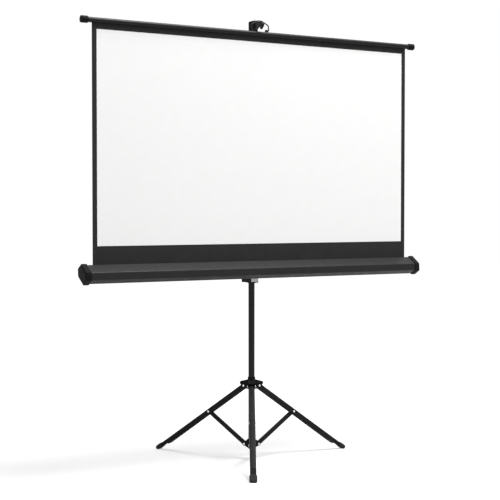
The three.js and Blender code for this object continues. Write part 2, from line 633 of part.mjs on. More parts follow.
// Roller, the fabric still wound on it, and the spring motor in its left end
function buildRoller(parent) {
  const at = [0, rollerY, rollerZ];
  const left = -rollerHalfLength;
  const right = rollerHalfLength;
  const bore = ROLLER_RADIUS - ROLLER_WALL;
  add(parent, 'roller_tube', ring(ROLLER_RADIUS, bore, left, right, X_AXIS, at, MEDIUM), zinc);
  const wound = ring(woundRadius, ROLLER_RADIUS + GAP, -sheetHalfWidth, sheetHalfWidth, X_AXIS, at, MEDIUM);
  add(parent, 'fabric_roll', wound, blackSheet);

  const shaftEnd = capInnerEnd - GAP;
  const rightFace = right + GAP + ROLLER_PLUG_FLANGE;
  const plug = [
    [0, right - ROLLER_PLUG_LENGTH], [bore - GAP, right - ROLLER_PLUG_LENGTH], [bore - GAP, right + GAP],
    [ROLLER_RADIUS, right + GAP], [ROLLER_RADIUS, rightFace], [SPINDLE_RADIUS, rightFace],
    [SPINDLE_RADIUS, shaftEnd], [0, shaftEnd],
  ];
  add(parent, 'roller_plug_right', turned(plug, X_AXIS, at), blackPlastic);
  const hole = SPINDLE_RADIUS + GAP;
  const leftFace = left - GAP - ROLLER_PLUG_FLANGE;
  const bearing = [
    [hole, leftFace], [ROLLER_RADIUS, leftFace], [ROLLER_RADIUS, left - GAP], [bore - GAP, left - GAP],
    [bore - GAP, left + ROLLER_PLUG_LENGTH], [hole, left + ROLLER_PLUG_LENGTH], [hole, leftFace],
  ];
  add(parent, 'roller_bearing_left', turned(bearing, X_AXIS, at), nylon);

  const spindleStart = -shaftEnd;
  const anchorFrom = left + SPINDLE_LENGTH;
  const anchorRadius = bore - 2 * GAP;
  const spindle = [
    [0, spindleStart], [SPINDLE_RADIUS, spindleStart], [SPINDLE_RADIUS, anchorFrom],
    [anchorRadius, anchorFrom],
    [anchorRadius, anchorFrom + ANCHOR_LENGTH], [0, anchorFrom + ANCHOR_LENGTH],
  ];
  add(parent, 'spring_spindle', turned(spindle, X_AXIS, at), zinc);

  const springFrom = left + ROLLER_PLUG_LENGTH + GAP;
  const springTo = anchorFrom - GAP;
  const lead = 2 * SPRING_WIRE_RADIUS;
  const coilLength = springTo - springFrom - 2 * lead;
  const stepsPerTurn = 8;
  const coil = Array.from({ length: SPRING_TURNS * stepsPerTurn + 1 }, (_, i) => {
    const turn = (2 * Math.PI * i) / stepsPerTurn;
    const x = springFrom + lead + (coilLength * i) / (SPRING_TURNS * stepsPerTurn);
    return new THREE.Vector3(x, SPRING_RADIUS * Math.cos(turn), SPRING_RADIUS * Math.sin(turn));
  });
  const first = new THREE.Vector3(springFrom, SPRING_RADIUS, 0);
  const last = new THREE.Vector3(springTo, SPRING_RADIUS, 0);
  const spring = wire([first, ...coil, last], SPRING_WIRE_RADIUS, 5).translate(0, rollerY, rollerZ);
  add(parent, 'torsion_spring', spring, zinc);
  const turnGap = coilLength / SPRING_TURNS - 2 * SPRING_WIRE_RADIUS;
  console.log(`least gap between the spring's turns ${turnGap.toFixed(2)} mm`);
}

// Carriage: liner on the mast, block, plate, bracket and pivot bolt to the casing, lock knob
function buildCarriage(parent) {
  const centre = [0, 0, 0];
  const flange = linerRadius + LINER_FLANGE_REACH;
  const low = blockBottom - GAP;
  const high = blockTop + GAP;
  const liner = [
    [mastBore, low - LINER_FLANGE], [flange, low - LINER_FLANGE], [flange, low], [linerRadius, low],
    [linerRadius, high], [flange, high], [flange, high + LINER_FLANGE], [mastBore, high + LINER_FLANGE],
    [mastBore, low - LINER_FLANGE],
  ];
  add(parent, 'carriage_bush', turned(liner, Z_AXIS, centre, FINE), nylon);

  const xs = [-BLOCK_HALF_WIDTH, BLOCK_HALF_WIDTH];
  const outline = roundedRectangle(xs, [BLOCK_FRONT, BLOCK_BACK], BLOCK_CORNER);
  const squareFront = box(xs, [BLOCK_FRONT, BLOCK_FRONT + BLOCK_CORNER], [blockBottom, blockTop]);
  const lip = box(xs, [plateFront, BLOCK_FRONT + 1], [blockBottom, blockBottom + BLOCK_LIP]);
  const bore = disc(linerRadius + GAP, blockBottom - OVERCUT, blockTop + OVERCUT, Z_AXIS, centre, FINE);
  const knobZ = blockBottom + BLOCK_HEIGHT / 2;
  const screwHole = disc(CARRIAGE_KNOB.screw + GAP, 0, BLOCK_BACK + OVERCUT, Y_AXIS, [0, 0, knobZ], COARSE);
  const pocketDepth = BLOCK_FRONT + BOLT_HEAD_HEIGHT + GAP;
  const boltAt = [0, 0, boltZ];
  const pocket = disc(BOLT_HEAD_RADIUS + GAP, BLOCK_FRONT - OVERCUT, pocketDepth, Y_AXIS, boltAt, COARSE);
  const block = join(column(outline, blockBottom, blockTop), squareFront, lip);
  add(parent, 'carriage_body', cut(block, bore, screwHole, pocket), blackPlastic);
  const knob = lockKnob(CARRIAGE_KNOB, linerRadius + GAP, BLOCK_BACK + GAP);
  add(parent, 'carriage_lock_knob', knob.translate(0, 0, knobZ), blackPlastic);

  const boltHole = disc(BOLT_RADIUS + GAP, caseY, 0, Y_AXIS, boltAt, COARSE);
  const plateBottom = blockBottom + BLOCK_LIP + GAP;
  const plate = box(xs, [plateFront, plateFront + PLATE_THICKNESS], [plateBottom, blockTop]);
  add(parent, 'pivot_plate', cut(plate, boltHole), zinc);

  const backTop = caseSection[5];
  const backLow = caseSection[4];
  const slope = (backTop[0] - backLow[0]) / (backTop[1] - backLow[1]);
  const bracketLow = boltZ - BRACKET_HEIGHT / 2;
  const bracketHigh = boltZ + BRACKET_HEIGHT / 2;
  const backAt = (z) => backLow[0] + slope * (z - backLow[1]) + GAP;
  const bracketBack = plateFront - GAP;
  const bracket = polygon([
    [backAt(bracketLow), bracketLow], [bracketBack, bracketLow], [bracketBack, bracketHigh],
    [backAt(bracketHigh), bracketHigh],
  ]);
  add(parent, 'casing_bracket', cut(alongX(bracket, 2 * BRACKET_HALF_WIDTH), boltHole), blackPaint);

  const headSeat = BLOCK_FRONT;
  const nutSeat = backAt(boltZ) - GAP - CASE_WALL - 2 * GAP;
  const boltTip = nutSeat - NUT_HEIGHT - BOLT_PAST_NUT;
  const bolt = [
    [0, boltTip], [BOLT_RADIUS, boltTip], [BOLT_RADIUS, headSeat], [BOLT_HEAD_RADIUS, headSeat],
    [BOLT_HEAD_RADIUS, headSeat + BOLT_HEAD_HEIGHT - GAP], [0, headSeat + BOLT_HEAD_HEIGHT - GAP],
  ];
  add(parent, 'pivot_bolt', turned(bolt, Y_AXIS, boltAt, COARSE), zinc);
  const nut = disc(NUT_RADIUS, nutSeat - NUT_HEIGHT, nutSeat, Y_AXIS, boltAt, NUT_SIDES);
  add(parent, 'pivot_nut', cut(nut, boltHole), zinc);
}

// Stand: everything below is built for a leg along +X, then turned about Z
const legFrame = new THREE.Matrix4()
  .makeRotationY(Math.PI / 2 - LEG_ANGLE)
  .setPosition(PIVOT_OFFSET, 0, hubPivotZ);
const braceFrame = new THREE.Matrix4()
  .makeRotationY(LEG_ANGLE - Math.PI / 2)
  .setPosition(PIVOT_OFFSET, 0, LOWER_PIVOT_HEIGHT);

// Channel with its open side along -Z, round ends about its pivots
function channel(shape, length, width, depth, wall) {
  const half = width / 2 - wall;
  const hollow = box([-length, 2 * length], [-half, half], [-depth, depth / 2 - wall]);
  return cut(plateXZ(shape, width), hollow);
}

// Rounded ring across the stem's axis
function stemRing(along, width, depth, corner, lift = STEM_LIFT) {
  const outline = roundedRectangle([-width / 2, width / 2], [-depth / 2, depth / 2], corner);
  return outline.getPoints(ARC_STEPS).slice(0, -1).map((point) => [along, point.x, point.y + lift]);
}

function buildLeg(parent, k) {
  const holeReach = LEG_WIDTH;
  const topHole = alongY(rivetHole, holeReach);
  const braceHole = topHole.clone().translate(BRACE_LENGTH, 0, 0);
  const outline = stadium(LEG_LENGTH, legEndRadius);
  const square = box([LEG_LENGTH, LEG_LENGTH + LEG_DEPTH], [-LEG_WIDTH, LEG_WIDTH], [-LEG_DEPTH, LEG_DEPTH]);
  const blank = channel(outline, LEG_LENGTH, LEG_WIDTH, LEG_DEPTH, LEG_WALL);
  const leg = cut(blank, topHole, braceHole, square);
  add(parent, `leg_${k}`, leg.applyMatrix4(legFrame), blackPaint);

  const plugHalf = LEG_WIDTH / 2 - LEG_WALL - GAP;
  const plugTop = LEG_DEPTH / 2 - LEG_WALL - GAP;
  const stemFrom = LEG_LENGTH + GAP;
  const plugXs = [LEG_LENGTH - STEM_PLUG, stemFrom + 1];
  const plug = box(plugXs, [-plugHalf, plugHalf], [-LEG_DEPTH / 2, plugTop]);
  const stemEnd = footTip - FOOT_END;
  const stem = loft([stemRing(stemFrom, STEM_WIDTH, STEM_DEPTH, STEM_CORNER),
    stemRing(stemEnd, STEM_WIDTH, STEM_DEPTH, STEM_CORNER)]);
  add(parent, `leg_stem_${k}`, join(plug, stem).applyMatrix4(legFrame), blackPlastic);

  const mouth = footTip - FOOT_LENGTH;
  const bare = 2 * FOOT_MOUTH_INSET;
  const nose = FOOT_NOSE;
  const lift = STEM_LIFT + FOOT_LIFT;
  const skin = loft([
    stemRing(mouth, FOOT_WIDTH - bare, FOOT_DEPTH - bare, FOOT_CORNER - FOOT_MOUTH_INSET, lift),
    stemRing(mouth + FOOT_NOSE / 2, FOOT_WIDTH, FOOT_DEPTH, FOOT_CORNER, lift),
    stemRing(footTip - nose, FOOT_WIDTH, FOOT_DEPTH, FOOT_CORNER, lift),
    stemRing(footTip, FOOT_WIDTH - nose, FOOT_DEPTH - nose, FOOT_CORNER - nose / 2, lift),
  ]);
  const holeWidth = STEM_WIDTH + 2 * GAP;
  const holeDepth = STEM_DEPTH + 2 * GAP;
  const holeCorner = STEM_CORNER + GAP;
  const hole = loft([stemRing(mouth - OVERCUT, holeWidth, holeDepth, holeCorner),
    stemRing(stemEnd + GAP, holeWidth, holeDepth, holeCorner)]);
  const floor = box([0, 2 * footTip], [-footTip, footTip], [-footTip, 0]);
  add(parent, `foot_${k}`, cut(cut(skin, hole).applyMatrix4(legFrame), floor), rubber);

  const braceShape = stadium(BRACE_LENGTH, BRACE_DEPTH / 2);
  const lowHole = alongY(rivetHole, holeReach);
  const highHole = lowHole.clone().translate(BRACE_LENGTH, 0, 0);
  const bar = channel(braceShape, BRACE_LENGTH, BRACE_WIDTH, BRACE_DEPTH, BRACE_WALL);
  const brace = cut(bar, lowHole, highHole);
  add(parent, `brace_${k}`, brace.applyMatrix4(braceFrame), blackPaint);

  const legRivet = rivet(LEG_WIDTH / 2).translate(BRACE_LENGTH, 0, 0).applyMatrix4(legFrame);
  add(parent, `brace_rivet_${k}`, legRivet, zinc);
  const hubRivet = rivet(hubCheekHalf).translate(PIVOT_OFFSET, 0, hubPivotZ);
  add(parent, `hub_rivet_${k}`, hubRivet, zinc);
  const collarRivet = rivet(collarCheekHalf).translate(PIVOT_OFFSET, 0, LOWER_PIVOT_HEIGHT);
  add(parent, `collar_rivet_${k}`, collarRivet, zinc);
}

const hubSlotHalf = LEG_WIDTH / 2 + RUN_GAP;
const hubCheekHalf = hubSlotHalf + HUB_CHEEK;
const collarSlotHalf = BRACE_WIDTH / 2 + RUN_GAP;
const collarCheekHalf = collarSlotHalf + COLLAR_CHEEK;

// Lower collar: ring with three pairs of ears
function buildCollar(parent) {
  const low = MAST_BOTTOM;
  const high = low + COLLAR_HEIGHT;
  const ear = new THREE.Shape();
  ear.moveTo(MAST_RADIUS, low);
  ear.lineTo(MAST_RADIUS, high);
  ear.absarc(PIVOT_OFFSET, LOWER_PIVOT_HEIGHT, EAR_RADIUS, 0.4 * Math.PI, -0.6 * Math.PI, true);
  const slotFrom = COLLAR_RADIUS + 1;
  const slotReach = PIVOT_OFFSET + EAR_RADIUS + OVERCUT;
  const slot = box([slotFrom, slotReach], [-collarSlotHalf, collarSlotHalf], [low - OVERCUT, high + OVERCUT]);
  const hole = alongY(rivetHole, collarCheekHalf + OVERCUT).translate(PIVOT_OFFSET, 0, LOWER_PIVOT_HEIGHT);
  const pair = cut(plateXZ(ear, 2 * collarCheekHalf), slot, hole);
  const ears = LEG_TURNS.map((turn) => pair.clone().rotateZ(THREE.MathUtils.degToRad(turn)));
  const sleeve = ring(COLLAR_RADIUS, mastBore, low, high, Z_AXIS, [0, 0, 0], FINE);
  const bore = disc(mastBore, low - OVERCUT, high + OVERCUT, Z_AXIS, [0, 0, 0], FINE);
  add(parent, 'lower_collar', cut(join(sleeve, ...ears), bore), blackPlastic);
}

// Hub: sleeve, neck and three hoods that hold the leg ends; lock knob on its far side
function buildHub(parent) {
  const hood = new THREE.Shape();
  const hoodEnd = PIVOT_OFFSET + HOOD_REACH;
  const hoodTop = hubTop - HOOD_FALL;
  const shoulder = hoodTop - HOOD_CORNER;
  hood.moveTo(MAST_RADIUS, hubBottom);
  hood.lineTo(HUB_RADIUS, hubBottom);
  hood.absarc(PIVOT_OFFSET, hubPivotZ, HUB_EYE_RADIUS, -0.6 * Math.PI, -0.1 * Math.PI);
  hood.lineTo(hoodEnd, hubPivotZ + HOOD_LIP);
  hood.lineTo(hoodEnd, shoulder);
  hood.absarc(hoodEnd - HOOD_CORNER, shoulder, HOOD_CORNER, 0, 0.42 * Math.PI);
  hood.lineTo(HUB_NECK_RADIUS, hubTop);
  hood.lineTo(MAST_RADIUS, hubTop);
  const slotFrom = PIVOT_OFFSET - legEndRadius - 3 * RUN_GAP;
  const slotReach = hoodEnd + OVERCUT;
  const slot = box([slotFrom, slotReach], [-hubSlotHalf, hubSlotHalf], [hubBottom - OVERCUT, hubRoofUnder]);
  const hole = alongY(rivetHole, hubCheekHalf + OVERCUT).translate(PIVOT_OFFSET, 0, hubPivotZ);
  const pair = cut(plateXZ(hood, 2 * hubCheekHalf), slot, hole);
  const hoods = LEG_TURNS.map((turn) => pair.clone().rotateZ(THREE.MathUtils.degToRad(turn)));
  const neckTop = hubTop + HUB_NECK_HEIGHT;
  const sleeve = [
    [mastBore, hubBottom], [HUB_RADIUS, hubBottom], [HUB_RADIUS, hubTop], [HUB_NECK_RADIUS, hubTop + 3],
    [HUB_NECK_RADIUS, neckTop], [mastBore, neckTop], [mastBore, hubBottom],
  ];
  const bore = disc(mastBore, hubBottom - OVERCUT, neckTop + OVERCUT, Z_AXIS, [0, 0, 0], FINE);
  const knobZ = hubTop + 3 + (HUB_NECK_HEIGHT - 3) / 2;
  const knobTurn = THREE.MathUtils.degToRad(HUB_KNOB_TURN - 90);
  const screwHole = disc(HUB_KNOB.screw + GAP, 0, HUB_RADIUS + OVERCUT, Y_AXIS, [0, 0, knobZ], COARSE);
  const body = join(turned(sleeve, Z_AXIS, [0, 0, 0], FINE), ...hoods);
  add(parent, 'leg_hub', cut(body, bore, screwHole.rotateZ(knobTurn)), blackPlastic);
  const knob = lockKnob(HUB_KNOB, mastBore, HUB_NECK_RADIUS + GAP).translate(0, 0, knobZ);
  add(parent, 'hub_lock_knob', knob.rotateZ(knobTurn), blackPlastic);
}

buildMast(screen);
buildHead(screen);
buildBail(screen);
buildRodAndSheet(screen);
buildCasing(screen);
buildRoller(screen);
buildCarriage(screen);
buildCollar(screen);
buildHub(screen);
LEG_TURNS.forEach((turn, i) => {
  const side = new THREE.Group();
  side.rotation.z = THREE.MathUtils.degToRad(turn);
  buildLeg(side, i + 1);
  screen.add(side);
});

export default screen;
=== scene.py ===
"""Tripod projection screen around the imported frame: sheet, casing, telescopic mast and folding stand."""
import math

import bmesh
import bpy
from mathutils import Matrix, Vector


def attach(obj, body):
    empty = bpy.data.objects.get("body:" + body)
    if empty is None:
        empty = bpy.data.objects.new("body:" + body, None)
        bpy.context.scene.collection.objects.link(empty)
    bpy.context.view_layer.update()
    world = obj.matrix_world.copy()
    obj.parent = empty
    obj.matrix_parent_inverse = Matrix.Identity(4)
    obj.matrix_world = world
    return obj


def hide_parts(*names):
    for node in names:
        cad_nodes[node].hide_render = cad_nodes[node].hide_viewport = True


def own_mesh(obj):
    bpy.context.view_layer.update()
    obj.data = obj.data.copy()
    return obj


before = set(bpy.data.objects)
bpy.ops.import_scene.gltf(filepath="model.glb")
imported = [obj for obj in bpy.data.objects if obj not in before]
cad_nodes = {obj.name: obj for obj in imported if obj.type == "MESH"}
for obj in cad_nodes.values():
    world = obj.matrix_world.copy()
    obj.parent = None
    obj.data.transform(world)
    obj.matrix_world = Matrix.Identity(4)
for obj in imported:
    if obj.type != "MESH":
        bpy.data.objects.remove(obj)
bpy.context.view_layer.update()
scene = bpy.context.scene
scene.view_settings.view_transform = "Standard"

# Sizes in millimetres, as in the solids
MM = 0.001
GAP = 0.3
FIT = 0.05  # play of a push-on piece
WELD = 1e-4  # points this near are one
SOLID_WELD = 2e-6  # the same in a solid's mesh, metres
BEND_SHARE = 0.45  # most of an edge that one rounded corner takes
ROUND_SIDES = 64
SMOOTH_ANGLE = math.radians(38)
FLAT_ANGLE = math.radians(1)

SHEET_Y = -62.0
SHEET_HALF_WIDTH = 682.1
SHEET_BOTTOM = 716.0
SHEET_TOP = 1586.3
SHEET_THICKNESS = 0.6
IMAGE_HALF_WIDTH = 664.1
IMAGE_BOTTOM = 818.6
IMAGE_TOP = 1565.7
IMAGE_COLUMNS = 16
IMAGE_ROWS = 10
DROP_ROWS = 2

ROD_Z = 1595.5
ROD_RADIUS = 9.5
ROD_BORE = 8.5
ROD_TUBE_HALF = 718.7
ROD_HALF = 723.0
ROD_CAP_RADIUS = 12.5
ROD_CAP_LENGTH = 25.0
ROD_CAP_END = 4.0
ROD_CAP_EDGE = 2.4

BAIL_Z = 1608.5
BAIL_RISE = 36.0
BAIL_SETBACK = 5.0
BAIL_WIRE_RADIUS = 2.2
BAIL_HALF_WIDTH = 37.0
BAIL_SHOULDER = 21.0
BAIL_SHOULDER_BEND = 10.0
BAIL_TOP_HALF_WIDTH = 9.0
BAIL_TOP_BEND = 8.0
BAIL_FOOT = 22.0
BAIL_FOOT_BEND = 5.0
BAIL_WIRE_SIDES = 14

CASE_OUTER = [(-102.0, 729.0), (-104.0, 704.0), (-79.0, 688.5), (-39.0, 715.0), (-37.0, 740.0)]
CASE_FRONT_LIP = (-64.0, 754.17)
CASE_BACK_LIP = (-60.0, 754.26)
CASE_WALL = 0.9
CASE_BEND = 3.0
CASE_HALF_LENGTH = 723.0

ROLLER_Y = -75.3
ROLLER_Z = 716.0
WOUND_INNER = 11.3
WOUND_PITCH = 0.7
WOUND_TURNS = 1.14
WOUND_STEPS = 60

MAST_RADIUS = 11.8
MAST_BORE = 10.8
MAST_BOTTOM = 44.0
MAST_TOP = 900.0
INNER_RADIUS = 8.0
INNER_BORE = 7.0
INNER_BOTTOM = 730.0
INNER_TOP = 1607.7
HOOK_END_Y = -73.0
HOOK_END_Z = 1629.318
HOOK_HALF_WIDTH = 5.0
HOOK_RING = dict(inner=2.6, outer=6.2, height=0.9, edge=0.4, sides=40)

LEG_TURNS = (-120.8, -0.8, 119.2)
LEG_SLOPE = math.radians(35.2)
PIVOT_OFFSET = 27.0
HUB_PIVOT_Z = 279.003
COLLAR_PIVOT_Z = 56.5
BRACE_LENGTH = 193.0
LEG_LENGTH = 425.0
LEG_SECTION = dict(width=22.4, depth=19.8, wall=1.3, corner=6.0)
BRACE_SECTION = dict(width=14.4, depth=13.2, wall=1.2, corner=4.0)
FOOT_TIP = 484.106
FOOT_LENGTH = 29.0
FOOT_END = 13.0
FOOT_SECTION = (28.0, 17.5, 7.0)
FOOT_LIFT = 0.85  # foot's section above the stem's
STEM_SECTION = (22.4, 13.0, 3.0)
STEM_LIFT = 3.0  # stem's section above the leg's axis
STEM_PLUG = 40.0
STEM_EDGE = 1.2
STEM_TIP_EDGE = 1.0
PLUG_CORNER = 4.7
PLUG_END_SHARE = 0.9
NOSE_STEPS = 8
NOSE_LEAST_SHARE = 0.04

# Foot's outline as (place, inset): its mouth, one grip groove from its start, and the tip from the end back
FOOT_MOUTH = [(0, 0.9), (0.8, 0.5), (2.4, 0.1), (4.0, 0.0)]
FOOT_GROOVE = [(0, 0.0), (0.5, 0.6), (1.7, 0.6), (2.2, 0.0)]
FOOT_GROOVE_STARTS = (7, 12)
FOOT_TIP_CURVE = [(7.5, 0.0), (4.5, 0.5), (2.0, 1.5), (0, 3.2)]

HUB_CHEEK_HALF = 14.6
LEG_CHEEK_HALF = 11.2
COLLAR_CHEEK_HALF = 10.1
RIVET_HEAD_RADIUS = 4.2
RIVET_HEAD_HEIGHT = 2.0
RIVET_RADIUS = 2.5
RIVET_PLAY = 0.1

# Lock knobs: screw tip and seat along the knob's axis, height and turn about the mast
CARRIAGE_KNOB = dict(
    radius=16.0, thickness=14.0, neck=6.0, neck_length=5.0, screw=3.0,
    tip=13.6, seat=50.3, height=710.0, turn=0,
)
EXTENSION_KNOB = dict(
    radius=12.0, thickness=11.0, neck=5.0, neck_length=4.0, screw=2.5,
    tip=8.3, seat=21.3, height=909.3, turn=0,
)
HUB_KNOB = dict(
    radius=9.5, thickness=13.0, neck=3.2, neck_length=16.0, screw=2.0,
    tip=12.1, seat=14.6, height=309.103, turn=-30,
)
KNOB_LOBES = 5
KNOB_LOBE_DEPTH = 0.07  # share of the knob's radius
KNOB_LOBE_STEPS = 12
# Knob's outline: (share of its radius, place from its back) and then from its front
KNOB_BACK = [(0.82, 0), (0.94, 0.6), (1.0, 2)]
KNOB_FRONT = [(1.0, 2.4), (0.96, 0.9), (0.88, 0.2), (0.62, 0), (0.56, 0.9), (0.3, 0.7)]
KNOB_NECK_DEPTH = 2  # neck inside the head
KNOB_SHAFT_EDGE = 0.5
KNOB_SHAFT_SIDES = 32

CLOTH_PITCH = 0.0009  # metres between threads
WAVE_PERIOD = math.pi / 10  # of the wave texture at scale 1


# Node helpers
def node(tree, kind, inputs=None, **settings):
    made = tree.nodes.new(kind)
    for key, value in settings.items():
        setattr(made, key, value)
    for key, value in (inputs or {}).items():
        socket = made.inputs[key]
        if isinstance(value, bpy.types.NodeSocket):
            tree.links.new(value, socket)
        else:
            socket.default_value = value
    return made


def new_finish(name, fixed):
    material = bpy.data.materials.new(name)
    material.use_nodes = True
    tree = material.node_tree
    shader = tree.nodes["Principled BSDF"]
    for key, value in fixed.items():
        shader.inputs[key].default_value = value
    return material, tree, shader


def object_noise(tree, scale, detail=3.0, stretch=None):
    place = node(tree, "ShaderNodeTexCoord").outputs["Object"]
    if stretch:
        place = node(tree, "ShaderNodeMapping", {"Vector": place, "Scale": stretch}).outputs["Vector"]
    inputs = {"Vector": place, "Scale": scale, "Detail": detail}
    return node(tree, "ShaderNodeTexNoise", inputs).outputs["Fac"]


def tinted(tree, share, dark, light, low=0.35, high=0.65):
    ramp = node(tree, "ShaderNodeValToRGB", {"Fac": share})
    for element, place, grey in zip(ramp.color_ramp.elements, (low, high), (dark, light)):
        element.position = place
        element.color = (*grey, 1.0)
    return ramp.outputs["Color"]


def ranged(tree, share, low, high):
    inputs = {"Value": share, "From Min": 0.3, "From Max": 0.7, "To Min": low, "To Max": high}
    return node(tree, "ShaderNodeMapRange", inputs).outputs["Result"]


def embossed(tree, height, strength, depth):
    inputs = {"Height": height, "Strength": strength, "Distance": depth}
    return node(tree, "ShaderNodeBump", inputs).outputs["Normal"]


def worked(tree, operation, first, second):
    return node(tree, "ShaderNodeMath", {0: first, 1: second}, operation=operation).outputs[0]


def grey(value, warmth=0.0):
    return (value * (1 + warmth), value, value * (1 - warmth))


def painted_steel(name, dark, light, gloss, specular):
    """Satin powder coat: faint cloudiness, orange peel and a few dull rubs up and down."""
    material, tree, shader = new_finish(name, {"Specular IOR Level": specular, "Metallic": 0.0})
    cloud = object_noise(tree, scale=22.0, detail=4.0)
    tree.links.new(tinted(tree, cloud, grey(dark), grey(light)), shader.inputs["Base Color"])
    rubs = object_noise(tree, scale=45.0, detail=5.0, stretch=(1.0, 1.0, 0.15))
    tree.links.new(ranged(tree, rubs, low=gloss - 0.05, high=gloss + 0.09), shader.inputs["Roughness"])
    peel = object_noise(tree, scale=1100.0, detail=2.0)
    tree.links.new(embossed(tree, peel, strength=0.18, depth=0.0001), shader.inputs["Normal"])
    return material


def moulded_plastic(name, dark, light, gloss, grain):
    """Black moulding with a fine spark-eroded grain."""
    material, tree, shader = new_finish(name, {"Specular IOR Level": 0.06})
    cloud = object_noise(tree, scale=30.0, detail=3.0)
    tree.links.new(tinted(tree, cloud, grey(dark), grey(light)), shader.inputs["Base Color"])
    texture = object_noise(tree, scale=grain, detail=4.0)
    tree.links.new(ranged(tree, texture, low=gloss - 0.06, high=gloss + 0.1), shader.inputs["Roughness"])
    tree.links.new(embossed(tree, texture, strength=0.3, depth=0.00025), shader.inputs["Normal"])
    return material


def plated_metal(name, dark, light, gloss):
    """Bare metal with fine drawn lines and slight spangle."""
    material, tree, shader = new_finish(name, {"Metallic": 1.0})
    spangle = object_noise(tree, scale=160.0, detail=3.0)
    tree.links.new(tinted(tree, spangle, grey(dark), grey(light)), shader.inputs["Base Color"])
    lines = object_noise(tree, scale=260.0, detail=4.0, stretch=(1.0, 1.0, 0.08))
    tree.links.new(ranged(tree, lines, low=gloss - 0.07, high=gloss + 0.1), shader.inputs["Roughness"])
    tree.links.new(embossed(tree, lines, strength=0.12, depth=0.0001), shader.inputs["Normal"])
    return material


def soft_rubber(name):
    material, tree, shader = new_finish(name, {"Specular IOR Level": 0.25})
    dust = object_noise(tree, scale=90.0, detail=5.0)
    tree.links.new(tinted(tree, dust, dark=grey(0.012), light=grey(0.024)), shader.inputs["Base Color"])
    tree.links.new(ranged(tree, dust, low=0.7, high=0.9), shader.inputs["Roughness"])
    pores = object_noise(tree, scale=1800.0, detail=3.0)
    tree.links.new(embossed(tree, pores, strength=0.25, depth=0.0002), shader.inputs["Normal"])
    return material


def woven_cloth(name, dark, light, specular, warmth):
    """Coated plain weave; warp and weft run along the cloth's own width and length."""
    material, tree, shader = new_finish(name, {"Specular IOR Level": specular, "Roughness": 0.92})
    place = node(tree, "ShaderNodeUVMap", uv_map="cloth").outputs["UV"]
    inputs = {"Vector": place, "Scale": 24.0, "Detail": 5.0}
    mottle = node(tree, "ShaderNodeTexNoise", inputs).outputs["Fac"]
    tint = tinted(tree, mottle, grey(dark, warmth), grey(light, warmth))
    tree.links.new(tint, shader.inputs["Base Color"])
    threads = []
    for direction in ("X", "Y"):
        inputs = {"Vector": place, "Scale": WAVE_PERIOD / CLOTH_PITCH}
        wave = node(tree, "ShaderNodeTexWave", inputs, wave_type="BANDS", bands_direction=direction)
        threads.append(wave.outputs["Fac"])
    weave = worked(tree, "MULTIPLY", *threads)
    tree.links.new(embossed(tree, weave, strength=0.12, depth=0.0001), shader.inputs["Normal"])
    return material


black_paint = painted_steel("black_paint", dark=0.006, light=0.009, gloss=0.38, specular=0.15)
# Painted shade: a copy of black_paint, the same paint as the mast in the real stand, for the legs and braces.
# It has much less reflection so the front leg reads darker, and a lighter base colour so the other legs do
# not go as dark.
shaded_leg_paint = painted_steel("shaded_leg_paint", dark=0.013, light=0.017, gloss=0.38, specular=0.05)
case_paint = painted_steel("case_paint", dark=0.007, light=0.009, gloss=0.48, specular=0.21)
black_plastic = moulded_plastic("black_plastic", dark=0.006, light=0.009, gloss=0.58, grain=1500.0)
nylon = moulded_plastic("nylon", dark=0.02, light=0.028, gloss=0.55, grain=900.0)
zinc = plated_metal("zinc", dark=0.30, light=0.37, gloss=0.34)
bright_steel = plated_metal("bright_steel", dark=0.62, light=0.74, gloss=0.25)
rubber = soft_rubber("rubber")
white_cloth = woven_cloth("white_cloth", dark=0.92, light=0.93, specular=0.1, warmth=0.003)
black_cloth = woven_cloth("black_cloth", dark=0.0205, light=0.0235, specular=0.2, warmth=0.0)


# Mesh helpers
def finished_mesh(name, bm, scale=MM):
    bmesh.ops.remove_doubles(bm, verts=bm.verts, dist=WELD * scale / MM)
    bmesh.ops.recalc_face_normals(bm, faces=bm.faces)
    mesh = bpy.data.meshes.new(name)
    bm.to_mesh(mesh)
    bm.free()
    mesh.transform(Matrix.Scale(scale, 4))
    return mesh


def weighted(obj):
    """Flat faces keep flat shading next to their rounded edges."""
    modifier = obj.modifiers.new("flat_faces", "WEIGHTED_NORMAL")
    modifier.keep_sharp = True
    depsgraph = bpy.context.evaluated_depsgraph_get()
    shaded = bpy.data.meshes.new_from_object(obj.evaluated_get(depsgraph))
    obj.modifiers.remove(modifier)
    plain = obj.data
    obj.data = shaded
    bpy.data.meshes.remove(plain)


def piece(name, mesh, material, body, slot, *replaced):
    obj = bpy.data.objects.new(name, mesh)
    scene.collection.objects.link(obj)
    if material:
        mesh.materials.clear()
        mesh.materials.append(material)
    mesh.shade_smooth()
    mesh.set_sharp_from_angle(angle=SMOOTH_ANGLE)
    weighted(obj)
    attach(obj, body)
    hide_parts(*replaced)
    return obj


def filleted(points, setback, steps=4):
    """Corners of a line rounded; a line whose last point is its first is a loop."""
    loop = points[0] == points[-1]
    corners = points[:-1] if loop else points
    count = len(corners)
    made = []
    for i, corner in enumerate(corners):
        here = Vector(corner)
        if not loop and i in (0, count - 1):
            made.append(here)
            continue
        before = Vector(corners[i - 1]) - here
        after = Vector(corners[(i + 1) % count]) - here
        reach = min(setback, BEND_SHARE * before.length, BEND_SHARE * after.length)
        start = here + before.normalized() * reach
        end = here + after.normalized() * reach
        for k in range(steps + 1):
            t = k / steps
            made.append(start * (1 - t) ** 2 + here * 2 * t * (1 - t) + end * t * t)
    return made + [made[0]] if loop else made


